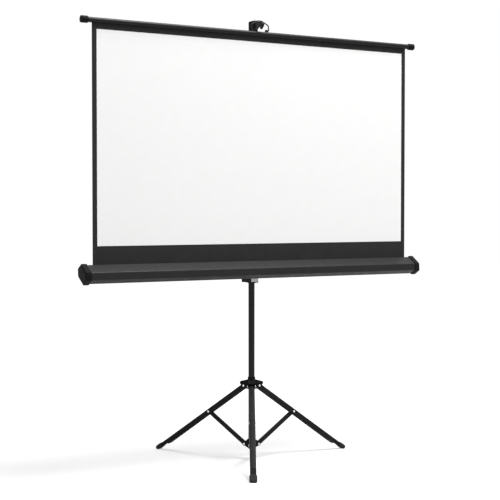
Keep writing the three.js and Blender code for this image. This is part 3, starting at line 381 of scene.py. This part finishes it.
def lathe(bm, profile, axis, at, sides=ROUND_SIDES):
    """Skin of (radius, place along the axis) points turned about the axis through `at`."""
    turn = Vector((0, 0, 1)).rotation_difference(Vector(axis)).to_matrix()
    rings = []
    for radius, along in profile:
        ring = []
        for i in range(sides):
            angle = 2 * math.pi * i / sides
            local = Vector((radius * math.cos(angle), radius * math.sin(angle), along))
            ring.append(bm.verts.new(turn @ local + Vector(at)))
        rings.append(ring)
    for low, high in zip(rings, rings[1:]):
        for i in range(sides):
            j = (i + 1) % sides
            bm.faces.new((low[i], low[j], high[j], high[i]))


def turned(name, profile, axis, at):
    bm = bmesh.new()
    lathe(bm, profile, axis, at)
    return finished_mesh(name, bm)


def tube_profile(outer, inner, low, high, edge=0.35):
    corners = [(inner, low), (outer, low), (outer, high), (inner, high), (inner, low)]
    return filleted(corners, edge, steps=2)


def skin(bm, rings):
    """Skin over closed rings of equal count, with flat ends."""
    rows = [[bm.verts.new(point) for point in ring] for ring in rings]
    count = len(rows[0])
    for low, high in zip(rows, rows[1:]):
        for i in range(count):
            j = (i + 1) % count
            bm.faces.new((low[i], low[j], high[j], high[i]))
    bm.faces.new(rows[0])
    bm.faces.new(rows[-1])


def softened(name, solid, material, body, slot, edge, steps=2, sharp=32):
    """A solid's own shape with its sharp edges rounded."""
    bm = bmesh.new()
    bm.from_mesh(cad_nodes[solid].data)
    bmesh.ops.remove_doubles(bm, verts=bm.verts, dist=SOLID_WELD)
    bmesh.ops.dissolve_limit(bm, angle_limit=FLAT_ANGLE, verts=bm.verts, edges=bm.edges)
    limit = math.radians(sharp)
    edges = [e for e in bm.edges if len(e.link_faces) == 2 and e.calc_face_angle() > limit]
    bmesh.ops.bevel(
        bm, geom=edges, offset=edge * MM, offset_type="OFFSET", segments=steps, profile=0.5,
        affect="EDGES", clamp_overlap=True,
    )
    mesh = bpy.data.meshes.new(name)
    bm.to_mesh(mesh)
    bm.free()
    return piece(name, mesh, material, body, slot, solid)


# Camera at the photograph's viewing angle
CAMERA_PLACE = (-2.4983, -4.0465, 0.9454)
CAMERA_TURN = (math.radians(88.16), 0.0, math.radians(-31.6))
CAMERA_LENS = 90.81
CAMERA_SHIFT = 0.001
lens = bpy.data.cameras.new("camera")
lens.sensor_width = 36.0
lens.lens = CAMERA_LENS
lens.shift_x = CAMERA_SHIFT
camera = bpy.data.objects.new("camera", lens)
camera.location = CAMERA_PLACE
camera.rotation_euler = CAMERA_TURN
scene.collection.objects.link(camera)
scene.camera = camera


# Sheet: white image area, black borders and drop, black back
def build_sheet():
    xs = [-SHEET_HALF_WIDTH, -IMAGE_HALF_WIDTH, IMAGE_HALF_WIDTH, SHEET_HALF_WIDTH]
    zs = [SHEET_BOTTOM, IMAGE_BOTTOM, IMAGE_TOP, SHEET_TOP]
    across = [xs[1] + (xs[2] - xs[1]) * i / IMAGE_COLUMNS for i in range(IMAGE_COLUMNS + 1)]
    columns = [xs[0], *across, xs[3]]
    rows = [zs[0] + (zs[1] - zs[0]) * i / DROP_ROWS for i in range(DROP_ROWS)]
    rows += [zs[1] + (zs[2] - zs[1]) * i / IMAGE_ROWS for i in range(IMAGE_ROWS + 1)]
    rows.append(zs[3])
    bm = bmesh.new()
    uv = bm.loops.layers.uv.new("cloth")
    front = SHEET_Y - SHEET_THICKNESS / 2
    back = SHEET_Y + SHEET_THICKNESS / 2
    grids = [[[bm.verts.new((x, y, z)) for z in rows] for x in columns] for y in (front, back)]
    last_x = len(columns) - 1
    last_z = len(rows) - 1

    def face(*corners):
        made = bm.faces.new(corners)
        made.material_index = 1
        return made

    f, b = grids
    for i in range(last_x):
        for k in range(last_z):
            near = face(f[i][k], f[i + 1][k], f[i + 1][k + 1], f[i][k + 1])
            face(b[i][k], b[i][k + 1], b[i + 1][k + 1], b[i + 1][k])
            inside_x = 0 < i < last_x - 1
            inside_z = DROP_ROWS <= k < last_z - 1
            if inside_x and inside_z:
                near.material_index = 0
    for k in range(last_z):
        face(f[0][k], f[0][k + 1], b[0][k + 1], b[0][k])
        face(f[last_x][k], b[last_x][k], b[last_x][k + 1], f[last_x][k + 1])
    for i in range(last_x):
        face(f[i][0], b[i][0], b[i + 1][0], f[i + 1][0])
        face(f[i][last_z], f[i + 1][last_z], b[i + 1][last_z], b[i][last_z])
    for made in bm.faces:
        for loop in made.loops:
            loop[uv].uv = (loop.vert.co.x * MM, loop.vert.co.z * MM)
    mesh = finished_mesh("sheet", bm)
    mesh.materials.append(white_cloth)
    mesh.materials.append(black_cloth)
    sheet = piece("sheet", mesh, None, "carriage", "screen_fabric", "screen_sheet")
    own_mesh(sheet)


# The cloth still wound on the roller
def build_wound_cloth():
    bm = bmesh.new()
    uv = bm.loops.layers.uv.new("cloth")
    outer = []
    inner = []
    for i in range(WOUND_STEPS + 1):
        angle = 2 * math.pi * WOUND_TURNS * i / WOUND_STEPS
        radius = WOUND_INNER + WOUND_PITCH * WOUND_TURNS * i / WOUND_STEPS
        along = Vector((math.cos(angle), math.sin(angle)))
        inner.append(along * radius)
        outer.append(along * (radius + SHEET_THICKNESS))
    loop = outer + inner[::-1]
    rings = []
    for x in (-SHEET_HALF_WIDTH, SHEET_HALF_WIDTH):
        rings.append([(x, ROLLER_Y + p.x, ROLLER_Z + p.y) for p in loop])
    skin(bm, rings)
    for made in bm.faces:
        for corner in made.loops:
            corner[uv].uv = (corner.vert.co.x * MM, corner.vert.co.z * MM)
    mesh = finished_mesh("wound_cloth", bm)
    piece("wound_cloth", mesh, black_cloth, "roller", "wound_fabric", "fabric_roll")


# Top rod with its caps, and the bail
def build_rod():
    at = (0, SHEET_Y, ROD_Z)
    wall = tube_profile(ROD_RADIUS, ROD_BORE, -ROD_TUBE_HALF, ROD_TUBE_HALF)
    tube = turned("top_rod_tube", wall, (1, 0, 0), at)
    piece("top_rod_tube", tube, black_paint, "rod", "black_paint", "top_rod")
    mouth = ROD_HALF - ROD_CAP_LENGTH
    seat = ROD_HALF - ROD_CAP_END
    inner = ROD_RADIUS + FIT
    outline = [(inner, mouth), (ROD_CAP_RADIUS, mouth), (ROD_CAP_RADIUS, ROD_HALF), (0, ROD_HALF)]
    outside = filleted(outline, ROD_CAP_EDGE, steps=5)
    profile = outside + [Vector((0, seat)), Vector((inner, seat)), Vector((inner, mouth))]
    for side, direction in (("left", -1), ("right", 1)):
        cap = turned(f"rod_end_{side}", profile, (direction, 0, 0), at)
        piece(f"rod_end_{side}", cap, black_plastic, "rod", "black_plastic", f"rod_cap_{side}")
        softened(f"bail_saddle_{side}", f"bail_clip_{side}", black_plastic, "rod", "black_plastic", edge=0.6)


def build_bail():
    lean = math.atan2(BAIL_SETBACK, BAIL_RISE)
    height = math.hypot(BAIL_SETBACK, BAIL_RISE)
    half = [(BAIL_FOOT, 0.0)]

    def bend(x, z, radius, start, end, steps):
        for i in range(steps + 1):
            angle = start + (end - start) * i / steps
            half.append((x + radius * math.cos(angle), z + radius * math.sin(angle)))

    bend(BAIL_HALF_WIDTH - BAIL_FOOT_BEND, BAIL_FOOT_BEND, BAIL_FOOT_BEND, -math.pi / 2, 0, 6)
    slope = math.atan2(height - BAIL_SHOULDER, BAIL_HALF_WIDTH - BAIL_TOP_HALF_WIDTH)
    lift = math.pi / 2 - slope
    shoulder_z = BAIL_SHOULDER - BAIL_SHOULDER_BEND * math.tan(lift / 2)
    bend(BAIL_HALF_WIDTH - BAIL_SHOULDER_BEND, shoulder_z, BAIL_SHOULDER_BEND, 0, lift, 8)
    top_x = BAIL_TOP_HALF_WIDTH - BAIL_TOP_BEND * math.tan(slope / 2)
    bend(top_x, height - BAIL_TOP_BEND, BAIL_TOP_BEND, lift, math.pi / 2, 6)
    route = half + [(-x, z) for x, z in half[::-1]]
    points = [Vector((x, 0, z)) for x, z in route]
    across = Vector((0, 1, 0))
    rings = []
    for i, point in enumerate(points):
        ahead = points[min(i + 1, len(points) - 1)]
        behind = points[max(i - 1, 0)]
        tangent = (ahead - behind).normalized()
        up = tangent.cross(across)
        ring = []
        for k in range(BAIL_WIRE_SIDES):
            angle = 2 * math.pi * k / BAIL_WIRE_SIDES
            ring.append(point + BAIL_WIRE_RADIUS * (across * math.cos(angle) + up * math.sin(angle)))
        rings.append(ring)
    bm = bmesh.new()
    skin(bm, rings)
    turn = Matrix.Translation((0, SHEET_Y, BAIL_Z)) @ Matrix.Rotation(-lean, 4, "X")
    bmesh.ops.transform(bm, matrix=turn, verts=bm.verts)
    mesh = finished_mesh("bail_wire", bm)
    piece("bail_wire", mesh, black_paint, "bail", "black_paint", "hanger_bail")


# Casing: folded shell with a slot along its ridge
def build_casing():
    outer = filleted([CASE_FRONT_LIP, *CASE_OUTER, CASE_BACK_LIP], CASE_BEND, steps=5)
    inner = []
    for i, point in enumerate(outer):
        ahead = outer[min(i + 1, len(outer) - 1)]
        behind = outer[max(i - 1, 0)]
        tangent = (ahead - behind).normalized()
        inner.append(point + Vector((-tangent.y, tangent.x)) * CASE_WALL)
    bm = bmesh.new()
    ends = []
    for x in (-CASE_HALF_LENGTH, CASE_HALF_LENGTH):
        out = [bm.verts.new((x, p.x, p.y)) for p in outer]
        inn = [bm.verts.new((x, p.x, p.y)) for p in inner]
        ends.append((out, inn))
    (left_out, left_in), (right_out, right_in) = ends
    for i in range(len(outer) - 1):
        bm.faces.new((left_out[i], left_out[i + 1], right_out[i + 1], right_out[i]))
        bm.faces.new((left_in[i], right_in[i], right_in[i + 1], left_in[i + 1]))
        bm.faces.new((left_out[i], left_in[i], left_in[i + 1], left_out[i + 1]))
        bm.faces.new((right_out[i], right_out[i + 1], right_in[i + 1], right_in[i]))
    for i in (0, len(outer) - 1):
        bm.faces.new((left_out[i], right_out[i], right_in[i], left_in[i]))
    mesh = finished_mesh("case_shell", bm)
    piece("case_shell", mesh, case_paint, "carriage", "case_paint", "casing_shell")
    for side in ("left", "right"):
        softened(
            f"case_end_{side}", f"end_cap_{side}", black_plastic, "carriage", "black_plastic",
            edge=1.3, steps=3, sharp=20,
        )


# Mast, its top bush and the head with the hook
def build_mast():
    up = (0, 0, 1)
    centre = (0, 0, 0)
    outer_wall = tube_profile(MAST_RADIUS, MAST_BORE, MAST_BOTTOM, MAST_TOP)
    outer = turned("mast_outer", outer_wall, up, centre)
    piece("mast_outer", outer, black_paint, "mast", "black_paint", "outer_mast_tube")
    inner_wall = tube_profile(INNER_RADIUS, INNER_BORE, INNER_BOTTOM, INNER_TOP)
    inner = turned("mast_inner", inner_wall, up, centre)
    piece("mast_inner", inner, black_paint, "extension", "black_paint", "inner_mast_tube")
    softened("mast_plug", "mast_end_plug", black_plastic, "mast", "black_plastic", edge=0.8)
    softened("mast_bush", "mast_top_bush", black_plastic, "mast", "black_plastic", edge=0.9)
    softened("head_block", "mast_head", black_plastic, "extension", "black_plastic", edge=0.9)
    softened("hook_arm", "hanger_hook", black_paint, "extension", "black_paint", edge=1.0, steps=3)
    low, high = HOOK_RING["inner"], HOOK_RING["outer"]
    top = HOOK_RING["height"]
    corners = [(low, 0), (high, 0), (high, top), (low, top), (low, 0)]
    wall = filleted(corners, HOOK_RING["edge"], steps=3)
    bm = bmesh.new()
    for side in (-1, 1):
        at = (side * (HOOK_HALF_WIDTH - FIT), HOOK_END_Y, HOOK_END_Z)
        lathe(bm, wall, (side, 0, 0), at, HOOK_RING["sides"])
    piece("hook_rings", finished_mesh("hook_rings", bm), black_paint, "extension", "black_paint")


# Lock knob with a lobed head; it points along +Y, then turns about Z
def build_knob(name, body, solid, radius, thickness, neck, neck_length, screw, tip, seat, height, turn):
    head = seat + neck_length
    top = head + thickness
    neck_end = head + KNOB_NECK_DEPTH
    shaft = [(0, tip), (screw, tip), (screw, seat), (neck, seat), (neck, neck_end), (0, neck_end)]
    bm = bmesh.new()
    rounded_shaft = filleted(shaft, KNOB_SHAFT_EDGE, steps=2)
    lathe(bm, rounded_shaft, (0, 1, 0), (0, 0, 0), KNOB_SHAFT_SIDES)
    outline = [(share, head + along) for share, along in KNOB_BACK]
    outline += [(share, top - along) for share, along in KNOB_FRONT]
    steps = KNOB_LOBES * KNOB_LOBE_STEPS
    rings = []
    for share, along in outline:
        ring = []
        for i in range(steps):
            angle = 2 * math.pi * i / steps
            reach = radius * share * (1 - KNOB_LOBE_DEPTH * (1 - math.cos(KNOB_LOBES * angle)))
            ring.append((reach * math.cos(angle), along, reach * math.sin(angle)))
        rings.append(ring)
    skin(bm, rings)
    place = Matrix.Rotation(math.radians(turn), 4, "Z") @ Matrix.Translation((0, 0, height))
    bmesh.ops.transform(bm, matrix=place, verts=bm.verts)
    piece(name, finished_mesh(name, bm), black_plastic, body, "black_plastic", solid)


# Carriage on the mast
def build_carriage():
    softened("carriage_liner", "carriage_bush", nylon, "glide", "nylon", edge=0.4)
    softened("carriage_block", "carriage_body", black_plastic, "carriage", "black_plastic", edge=1.2, steps=3)
    softened("carriage_plate", "pivot_plate", zinc, "carriage", "zinc", edge=0.5)
    softened("carriage_bracket", "casing_bracket", black_paint, "carriage", "black_paint", edge=0.8)


# Legs, braces and feet: made along +X, then set in place and turned about Z
def leg_place(turn):
    tilt = Matrix.Rotation(LEG_SLOPE, 4, "Y")
    set_down = Matrix.Translation((PIVOT_OFFSET, 0, HUB_PIVOT_Z)) @ tilt
    return Matrix.Rotation(math.radians(turn), 4, "Z") @ set_down


def brace_place(turn):
    tilt = Matrix.Rotation(-LEG_SLOPE, 4, "Y")
    set_down = Matrix.Translation((PIVOT_OFFSET, 0, COLLAR_PIVOT_Z)) @ tilt
    return Matrix.Rotation(math.radians(turn), 4, "Z") @ set_down


def channel(bm, length, round_end, width, depth, wall, corner):
    """Folded channel, open below, with round ends about its pivots."""
    y = width / 2
    z = depth / 2
    inner_y = y - wall
    inner_z = z - wall
    outer = filleted([(-y, -z), (-y, z), (y, z), (y, -z)], corner, steps=5)
    hollow = [(inner_y, -z), (inner_y, inner_z), (-inner_y, inner_z), (-inner_y, -z)]
    section = outer + filleted(hollow, corner - wall, steps=5)
    nose = []
    for i in range(NOSE_STEPS):
        angle = math.pi / 2 * i / NOSE_STEPS
        nose.append((-z * math.cos(angle), max(math.sin(angle), NOSE_LEAST_SHARE)))
    stations = nose + [(0.0, 1.0), (length, 1.0)]
    if round_end:
        stations += [(length - x, share) for x, share in nose[::-1]]
    skin(bm, [[(x, p.x, p.y * share) for p in section] for x, share in stations])


def stem_ring(along, section, inset, lift=STEM_LIFT):
    """Rounded section across the foot's stem."""
    width, depth, corner = section
    y = width / 2 - inset
    z = depth / 2 - inset
    outline = filleted([(-y, -z), (y, -z), (y, z), (-y, z), (-y, -z)], corner, steps=6)[:-1]
    return [(along, p.x, p.y + lift) for p in outline]


def build_leg(k, turn):
    place = leg_place(turn)
    bm = bmesh.new()
    channel(bm, LEG_LENGTH, False, **LEG_SECTION)
    bmesh.ops.transform(bm, matrix=place, verts=bm.verts)
    mesh = finished_mesh(f"leg_channel_{k}", bm)
    # The legs wear the painted-shade copy of black_paint
    piece(f"leg_channel_{k}", mesh, shaded_leg_paint, f"leg_{k}", "black_paint", f"leg_{k}")

    bm = bmesh.new()
    stem_start = LEG_LENGTH + STEM_EDGE
    stem_end = FOOT_TIP - FOOT_END
    tongue = [
        (LEG_LENGTH, STEM_EDGE), (stem_start, 0),
        (stem_end - STEM_TIP_EDGE, 0), (stem_end, STEM_TIP_EDGE),
    ]
    skin(bm, [stem_ring(x, STEM_SECTION, inset) for x, inset in tongue])
    half_y = LEG_SECTION["width"] / 2 - LEG_SECTION["wall"] - GAP
    top = LEG_SECTION["depth"] / 2 - LEG_SECTION["wall"] - GAP
    low = -LEG_SECTION["depth"] / 2
    corners = [(-half_y, low), (half_y, low), (half_y, top), (-half_y, top), (-half_y, low)]
    plug = filleted(corners, PLUG_CORNER, steps=5)[:-1]
    ends = [(LEG_LENGTH - STEM_PLUG, 1.0), (LEG_LENGTH, 1.0), (stem_start, PLUG_END_SHARE)]
    skin(bm, [[(x, p.x * share, p.y * share) for p in plug] for x, share in ends])
    bmesh.ops.transform(bm, matrix=place, verts=bm.verts)
    mesh = finished_mesh(f"foot_stem_{k}", bm)
    piece(f"foot_stem_{k}", mesh, black_plastic, f"leg_{k}", "black_plastic", f"leg_stem_{k}")

    mouth = FOOT_TIP - FOOT_LENGTH
    line = list(FOOT_MOUTH)
    for start in FOOT_GROOVE_STARTS:
        line += [(start + along, inset) for along, inset in FOOT_GROOVE]
    line += [(FOOT_LENGTH - back, inset) for back, inset in FOOT_TIP_CURVE]
    bore = [stem_ring(x, STEM_SECTION, -FIT) for x in (stem_end + GAP, mouth)]
    bm = bmesh.new()
    axis_lift = STEM_LIFT + FOOT_LIFT
    skin(bm, bore + [stem_ring(mouth + x, FOOT_SECTION, inset, axis_lift) for x, inset in line])
    bmesh.ops.transform(bm, matrix=place, verts=bm.verts)
    everything = bm.verts[:] + bm.edges[:] + bm.faces[:]
    floor_plane = dict(plane_co=(0, 0, 0), plane_no=(0, 0, 1))
    bmesh.ops.bisect_plane(bm, geom=everything, clear_inner=True, **floor_plane)
    bmesh.ops.holes_fill(bm, edges=[e for e in bm.edges if e.is_boundary])
    mesh = finished_mesh(f"foot_rubber_{k}", bm)
    piece(f"foot_rubber_{k}", mesh, rubber, f"leg_{k}", "rubber", f"foot_{k}")

    bm = bmesh.new()
    channel(bm, BRACE_LENGTH, True, **BRACE_SECTION)
    bmesh.ops.transform(bm, matrix=brace_place(turn), verts=bm.verts)
    mesh = finished_mesh(f"brace_bar_{k}", bm)
    # The braces wear the painted-shade copy of black_paint
    piece(f"brace_bar_{k}", mesh, shaded_leg_paint, f"brace_{k}", "black_paint", f"brace_{k}")


# Rivets: a shank with two domed heads on every marked point
def rivet_tree():
    tree = bpy.data.node_groups.new("rivets", "GeometryNodeTree")
    sockets = tree.interface
    sockets.new_socket("Geometry", in_out="INPUT", socket_type="NodeSocketGeometry")
    for name in ("Head radius", "Head height", "Shank radius", "Half grip"):
        sockets.new_socket(name, in_out="INPUT", socket_type="NodeSocketFloat")
    sockets.new_socket("Finish", in_out="INPUT", socket_type="NodeSocketMaterial")
    sockets.new_socket("Geometry", in_out="OUTPUT", socket_type="NodeSocketGeometry")
    given = node(tree, "NodeGroupInput").outputs
    ball_size = {"Segments": 32, "Rings": 16, "Radius": 1.0}
    ball = node(tree, "GeometryNodeMeshUVSphere", ball_size).outputs["Mesh"]
    position = node(tree, "GeometryNodeInputPosition").outputs[0]
    spot = node(tree, "ShaderNodeSeparateXYZ", {0: position}).outputs
    flat = worked(tree, "MAXIMUM", spot["Z"], 0.0)
    wide_x = worked(tree, "MULTIPLY", spot["X"], given["Head radius"])
    wide_y = worked(tree, "MULTIPLY", spot["Y"], given["Head radius"])
    tall = worked(tree, "MULTIPLY", flat, given["Head height"])
    lifted = worked(tree, "ADD", tall, given["Half grip"])
    dome_at = node(tree, "ShaderNodeCombineXYZ", {"X": wide_x, "Y": wide_y, "Z": lifted}).outputs[0]
    dome = node(tree, "GeometryNodeSetPosition", {"Geometry": ball, "Position": dome_at}).outputs[0]
    half_turn = {"Geometry": dome, "Rotation": (math.pi, 0, 0)}
    far_dome = node(tree, "GeometryNodeTransform", half_turn).outputs[0]
    length = worked(tree, "MULTIPLY", given["Half grip"], 2.0)
    shank_size = {"Vertices": 24, "Radius": given["Shank radius"], "Depth": length}
    shank = node(tree, "GeometryNodeMeshCylinder", shank_size).outputs["Mesh"]
    whole = node(tree, "GeometryNodeJoinGeometry")
    for part in (dome, far_dome, shank):
        tree.links.new(part, whole.inputs[0])
    pin = node(tree, "GeometryNodeInputNamedAttribute", {"Name": "pin_axis"}, data_type="FLOAT_VECTOR")
    aim = node(tree, "FunctionNodeAlignRotationToVector", {"Vector": pin.outputs["Attribute"]}, axis="Z")
    spread = {"Points": given["Geometry"], "Instance": whole.outputs[0], "Rotation": aim.outputs[0]}
    pins = node(tree, "GeometryNodeInstanceOnPoints", spread).outputs[0]
    plain = node(tree, "GeometryNodeRealizeInstances", {"Geometry": pins}).outputs[0]
    dressing = {"Geometry": plain, "Material": given["Finish"]}
    dressed = node(tree, "GeometryNodeSetMaterial", dressing).outputs[0]
    out = tree.nodes.new("NodeGroupOutput")
    tree.links.new(dressed, out.inputs[0])
    return tree


def set_rivets(tree, name, body, pins, half_grip, *solids):
    """pins are (place, axis) pairs in millimetres."""
    points = bpy.data.meshes.new(name)
    points.from_pydata([Vector(place) * MM for place, _ in pins], [], [])
    axes = points.attributes.new("pin_axis", "FLOAT_VECTOR", "POINT")
    for item, (_, axis) in zip(axes.data, pins):
        item.vector = axis
    carrier = bpy.data.objects.new(f"{name}_points", points)
    scene.collection.objects.link(carrier)
    modifier = carrier.modifiers.new("rivets", "NODES")
    modifier.node_group = tree
    values = {
        "Head radius": RIVET_HEAD_RADIUS * MM, "Head height": RIVET_HEAD_HEIGHT * MM,
        "Shank radius": RIVET_RADIUS * MM, "Half grip": half_grip * MM, "Finish": bright_steel,
    }
    for socket in tree.interface.items_tree:
        if socket.in_out == "INPUT" and socket.name in values:
            modifier[socket.identifier] = values[socket.name]
    depsgraph = bpy.context.evaluated_depsgraph_get()
    made = bpy.data.meshes.new_from_object(carrier.evaluated_get(depsgraph))
    bpy.data.objects.remove(carrier)
    made.name = name
    piece(name, made, bright_steel, body, "zinc", *solids)


def build_rivets():
    tree = rivet_tree()
    hub_pins = []
    collar_pins = []
    for k, turn in enumerate(LEG_TURNS, 1):
        spin = Matrix.Rotation(math.radians(turn), 4, "Z")
        axis = spin @ Vector((0, 1, 0))
        hub_pins.append((spin @ Vector((PIVOT_OFFSET, 0, HUB_PIVOT_Z)), axis))
        collar_pins.append((spin @ Vector((PIVOT_OFFSET, 0, COLLAR_PIVOT_Z)), axis))
        brace_pin = (leg_place(turn) @ Vector((BRACE_LENGTH, 0, 0)), axis)
        half_grip = LEG_CHEEK_HALF + RIVET_PLAY
        set_rivets(tree, f"leg_pin_{k}", f"leg_{k}", [brace_pin], half_grip, f"brace_rivet_{k}")
    hub_solids = [f"hub_rivet_{k}" for k in (1, 2, 3)]
    set_rivets(tree, "hub_pins", "hub", hub_pins, HUB_CHEEK_HALF + RIVET_PLAY, *hub_solids)
    collar_solids = [f"collar_rivet_{k}" for k in (1, 2, 3)]
    set_rivets(tree, "collar_pins", "mast", collar_pins, COLLAR_CHEEK_HALF + RIVET_PLAY, *collar_solids)


build_sheet()
build_wound_cloth()
build_rod()
build_bail()
build_casing()
build_mast()
build_carriage()
build_knob("knob_carriage", "carriage_knob", "carriage_lock_knob", **CARRIAGE_KNOB)
build_knob("knob_extension", "extension_knob", "extension_lock_knob", **EXTENSION_KNOB)
build_knob("knob_hub", "hub_knob", "hub_lock_knob", **HUB_KNOB)
softened("stand_hub", "leg_hub", black_plastic, "hub", "black_plastic", edge=1.2, steps=3)
softened("stand_collar", "lower_collar", black_plastic, "mast", "black_plastic", edge=0.8)
for number, leg_turn in enumerate(LEG_TURNS, 1):
    build_leg(number, leg_turn)
build_rivets()

# Inner pieces that keep their solids
INNER_FINISHES = {
    "inner_tube_glide": nylon, "roller_bearing_left": nylon, "roller_plug_right": black_plastic,
    "roller_tube": zinc, "torsion_spring": zinc, "spring_spindle": zinc,
    "pivot_bolt": zinc, "pivot_nut": zinc,
}
for solid_name, finish in INNER_FINISHES.items():
    for held in cad_nodes[solid_name].material_slots:
        held.material = finish


# Floor, world and lamps
FLOOR_RADIUS = 40.0
WORLD_FILL = 0.40


def seen_directly(tree):
    """One for camera, mirror and see-through rays."""
    path = node(tree, "ShaderNodeLightPath").outputs
    first = worked(tree, "MAXIMUM", path["Is Camera Ray"], path["Is Glossy Ray"])
    return worked(tree, "MAXIMUM", first, path["Is Transmission Ray"])


def build_floor():
    bm = bmesh.new()
    bmesh.ops.create_circle(bm, cap_ends=True, segments=96, radius=FLOOR_RADIUS)
    floor = bpy.data.objects.new("floor", finished_mesh("floor", bm, scale=1.0))
    scene.collection.objects.link(floor)
    material, tree, shader = new_finish("pale_floor", {"Roughness": 0.9, "Specular IOR Level": 0.0})
    speck = object_noise(tree, scale=3.0, detail=2.0)
    tree.links.new(tinted(tree, speck, dark=grey(0.54), light=grey(0.56)), shader.inputs["Base Color"])
    shader.inputs["Emission Color"].default_value = (1, 1, 1, 1)
    place = node(tree, "ShaderNodeTexCoord").outputs["Object"]
    away = node(tree, "ShaderNodeVectorMath", {0: place}, operation="LENGTH").outputs["Value"]
    inputs = {"Value": away, "From Min": 1.0, "From Max": 6.0, "To Min": 0.5, "To Max": 0.8}
    paleness = node(tree, "ShaderNodeMapRange", inputs).outputs["Result"]
    lift = worked(tree, "MULTIPLY", seen_directly(tree), paleness)
    tree.links.new(lift, shader.inputs["Emission Strength"])
    floor.data.materials.append(material)


def build_world():
    world = bpy.data.worlds.new("studio")
    world.use_nodes = True
    tree = world.node_tree
    background = tree.nodes["Background"]
    background.inputs["Color"].default_value = (1, 1, 1, 1)
    seen = seen_directly(tree)
    inputs = {"Value": seen, "To Min": WORLD_FILL, "To Max": 1.0}
    level = node(tree, "ShaderNodeMapRange", inputs).outputs["Result"]
    tree.links.new(level, background.inputs["Strength"])
    scene.world = world


def softbox(name, place, aim, size, power):
    light = bpy.data.lights.new(name, "AREA")
    light.shape = "RECTANGLE"
    light.size, light.size_y = size
    light.energy = power
    lamp = bpy.data.objects.new(name, light)
    lamp.location = place
    lamp.rotation_euler = (Vector(aim) - Vector(place)).to_track_quat("-Z", "Y").to_euler()
    scene.collection.objects.link(lamp)


build_floor()
build_world()
softbox("overhead", place=(1.2, -1.2, 5.4), aim=(0, 0, 0.8), size=(2.5, 2.5), power=395)
softbox("fill", place=(-3.0, -3.5, 1.2), aim=(0, 0, 1.0), size=(2.0, 1.4), power=15)
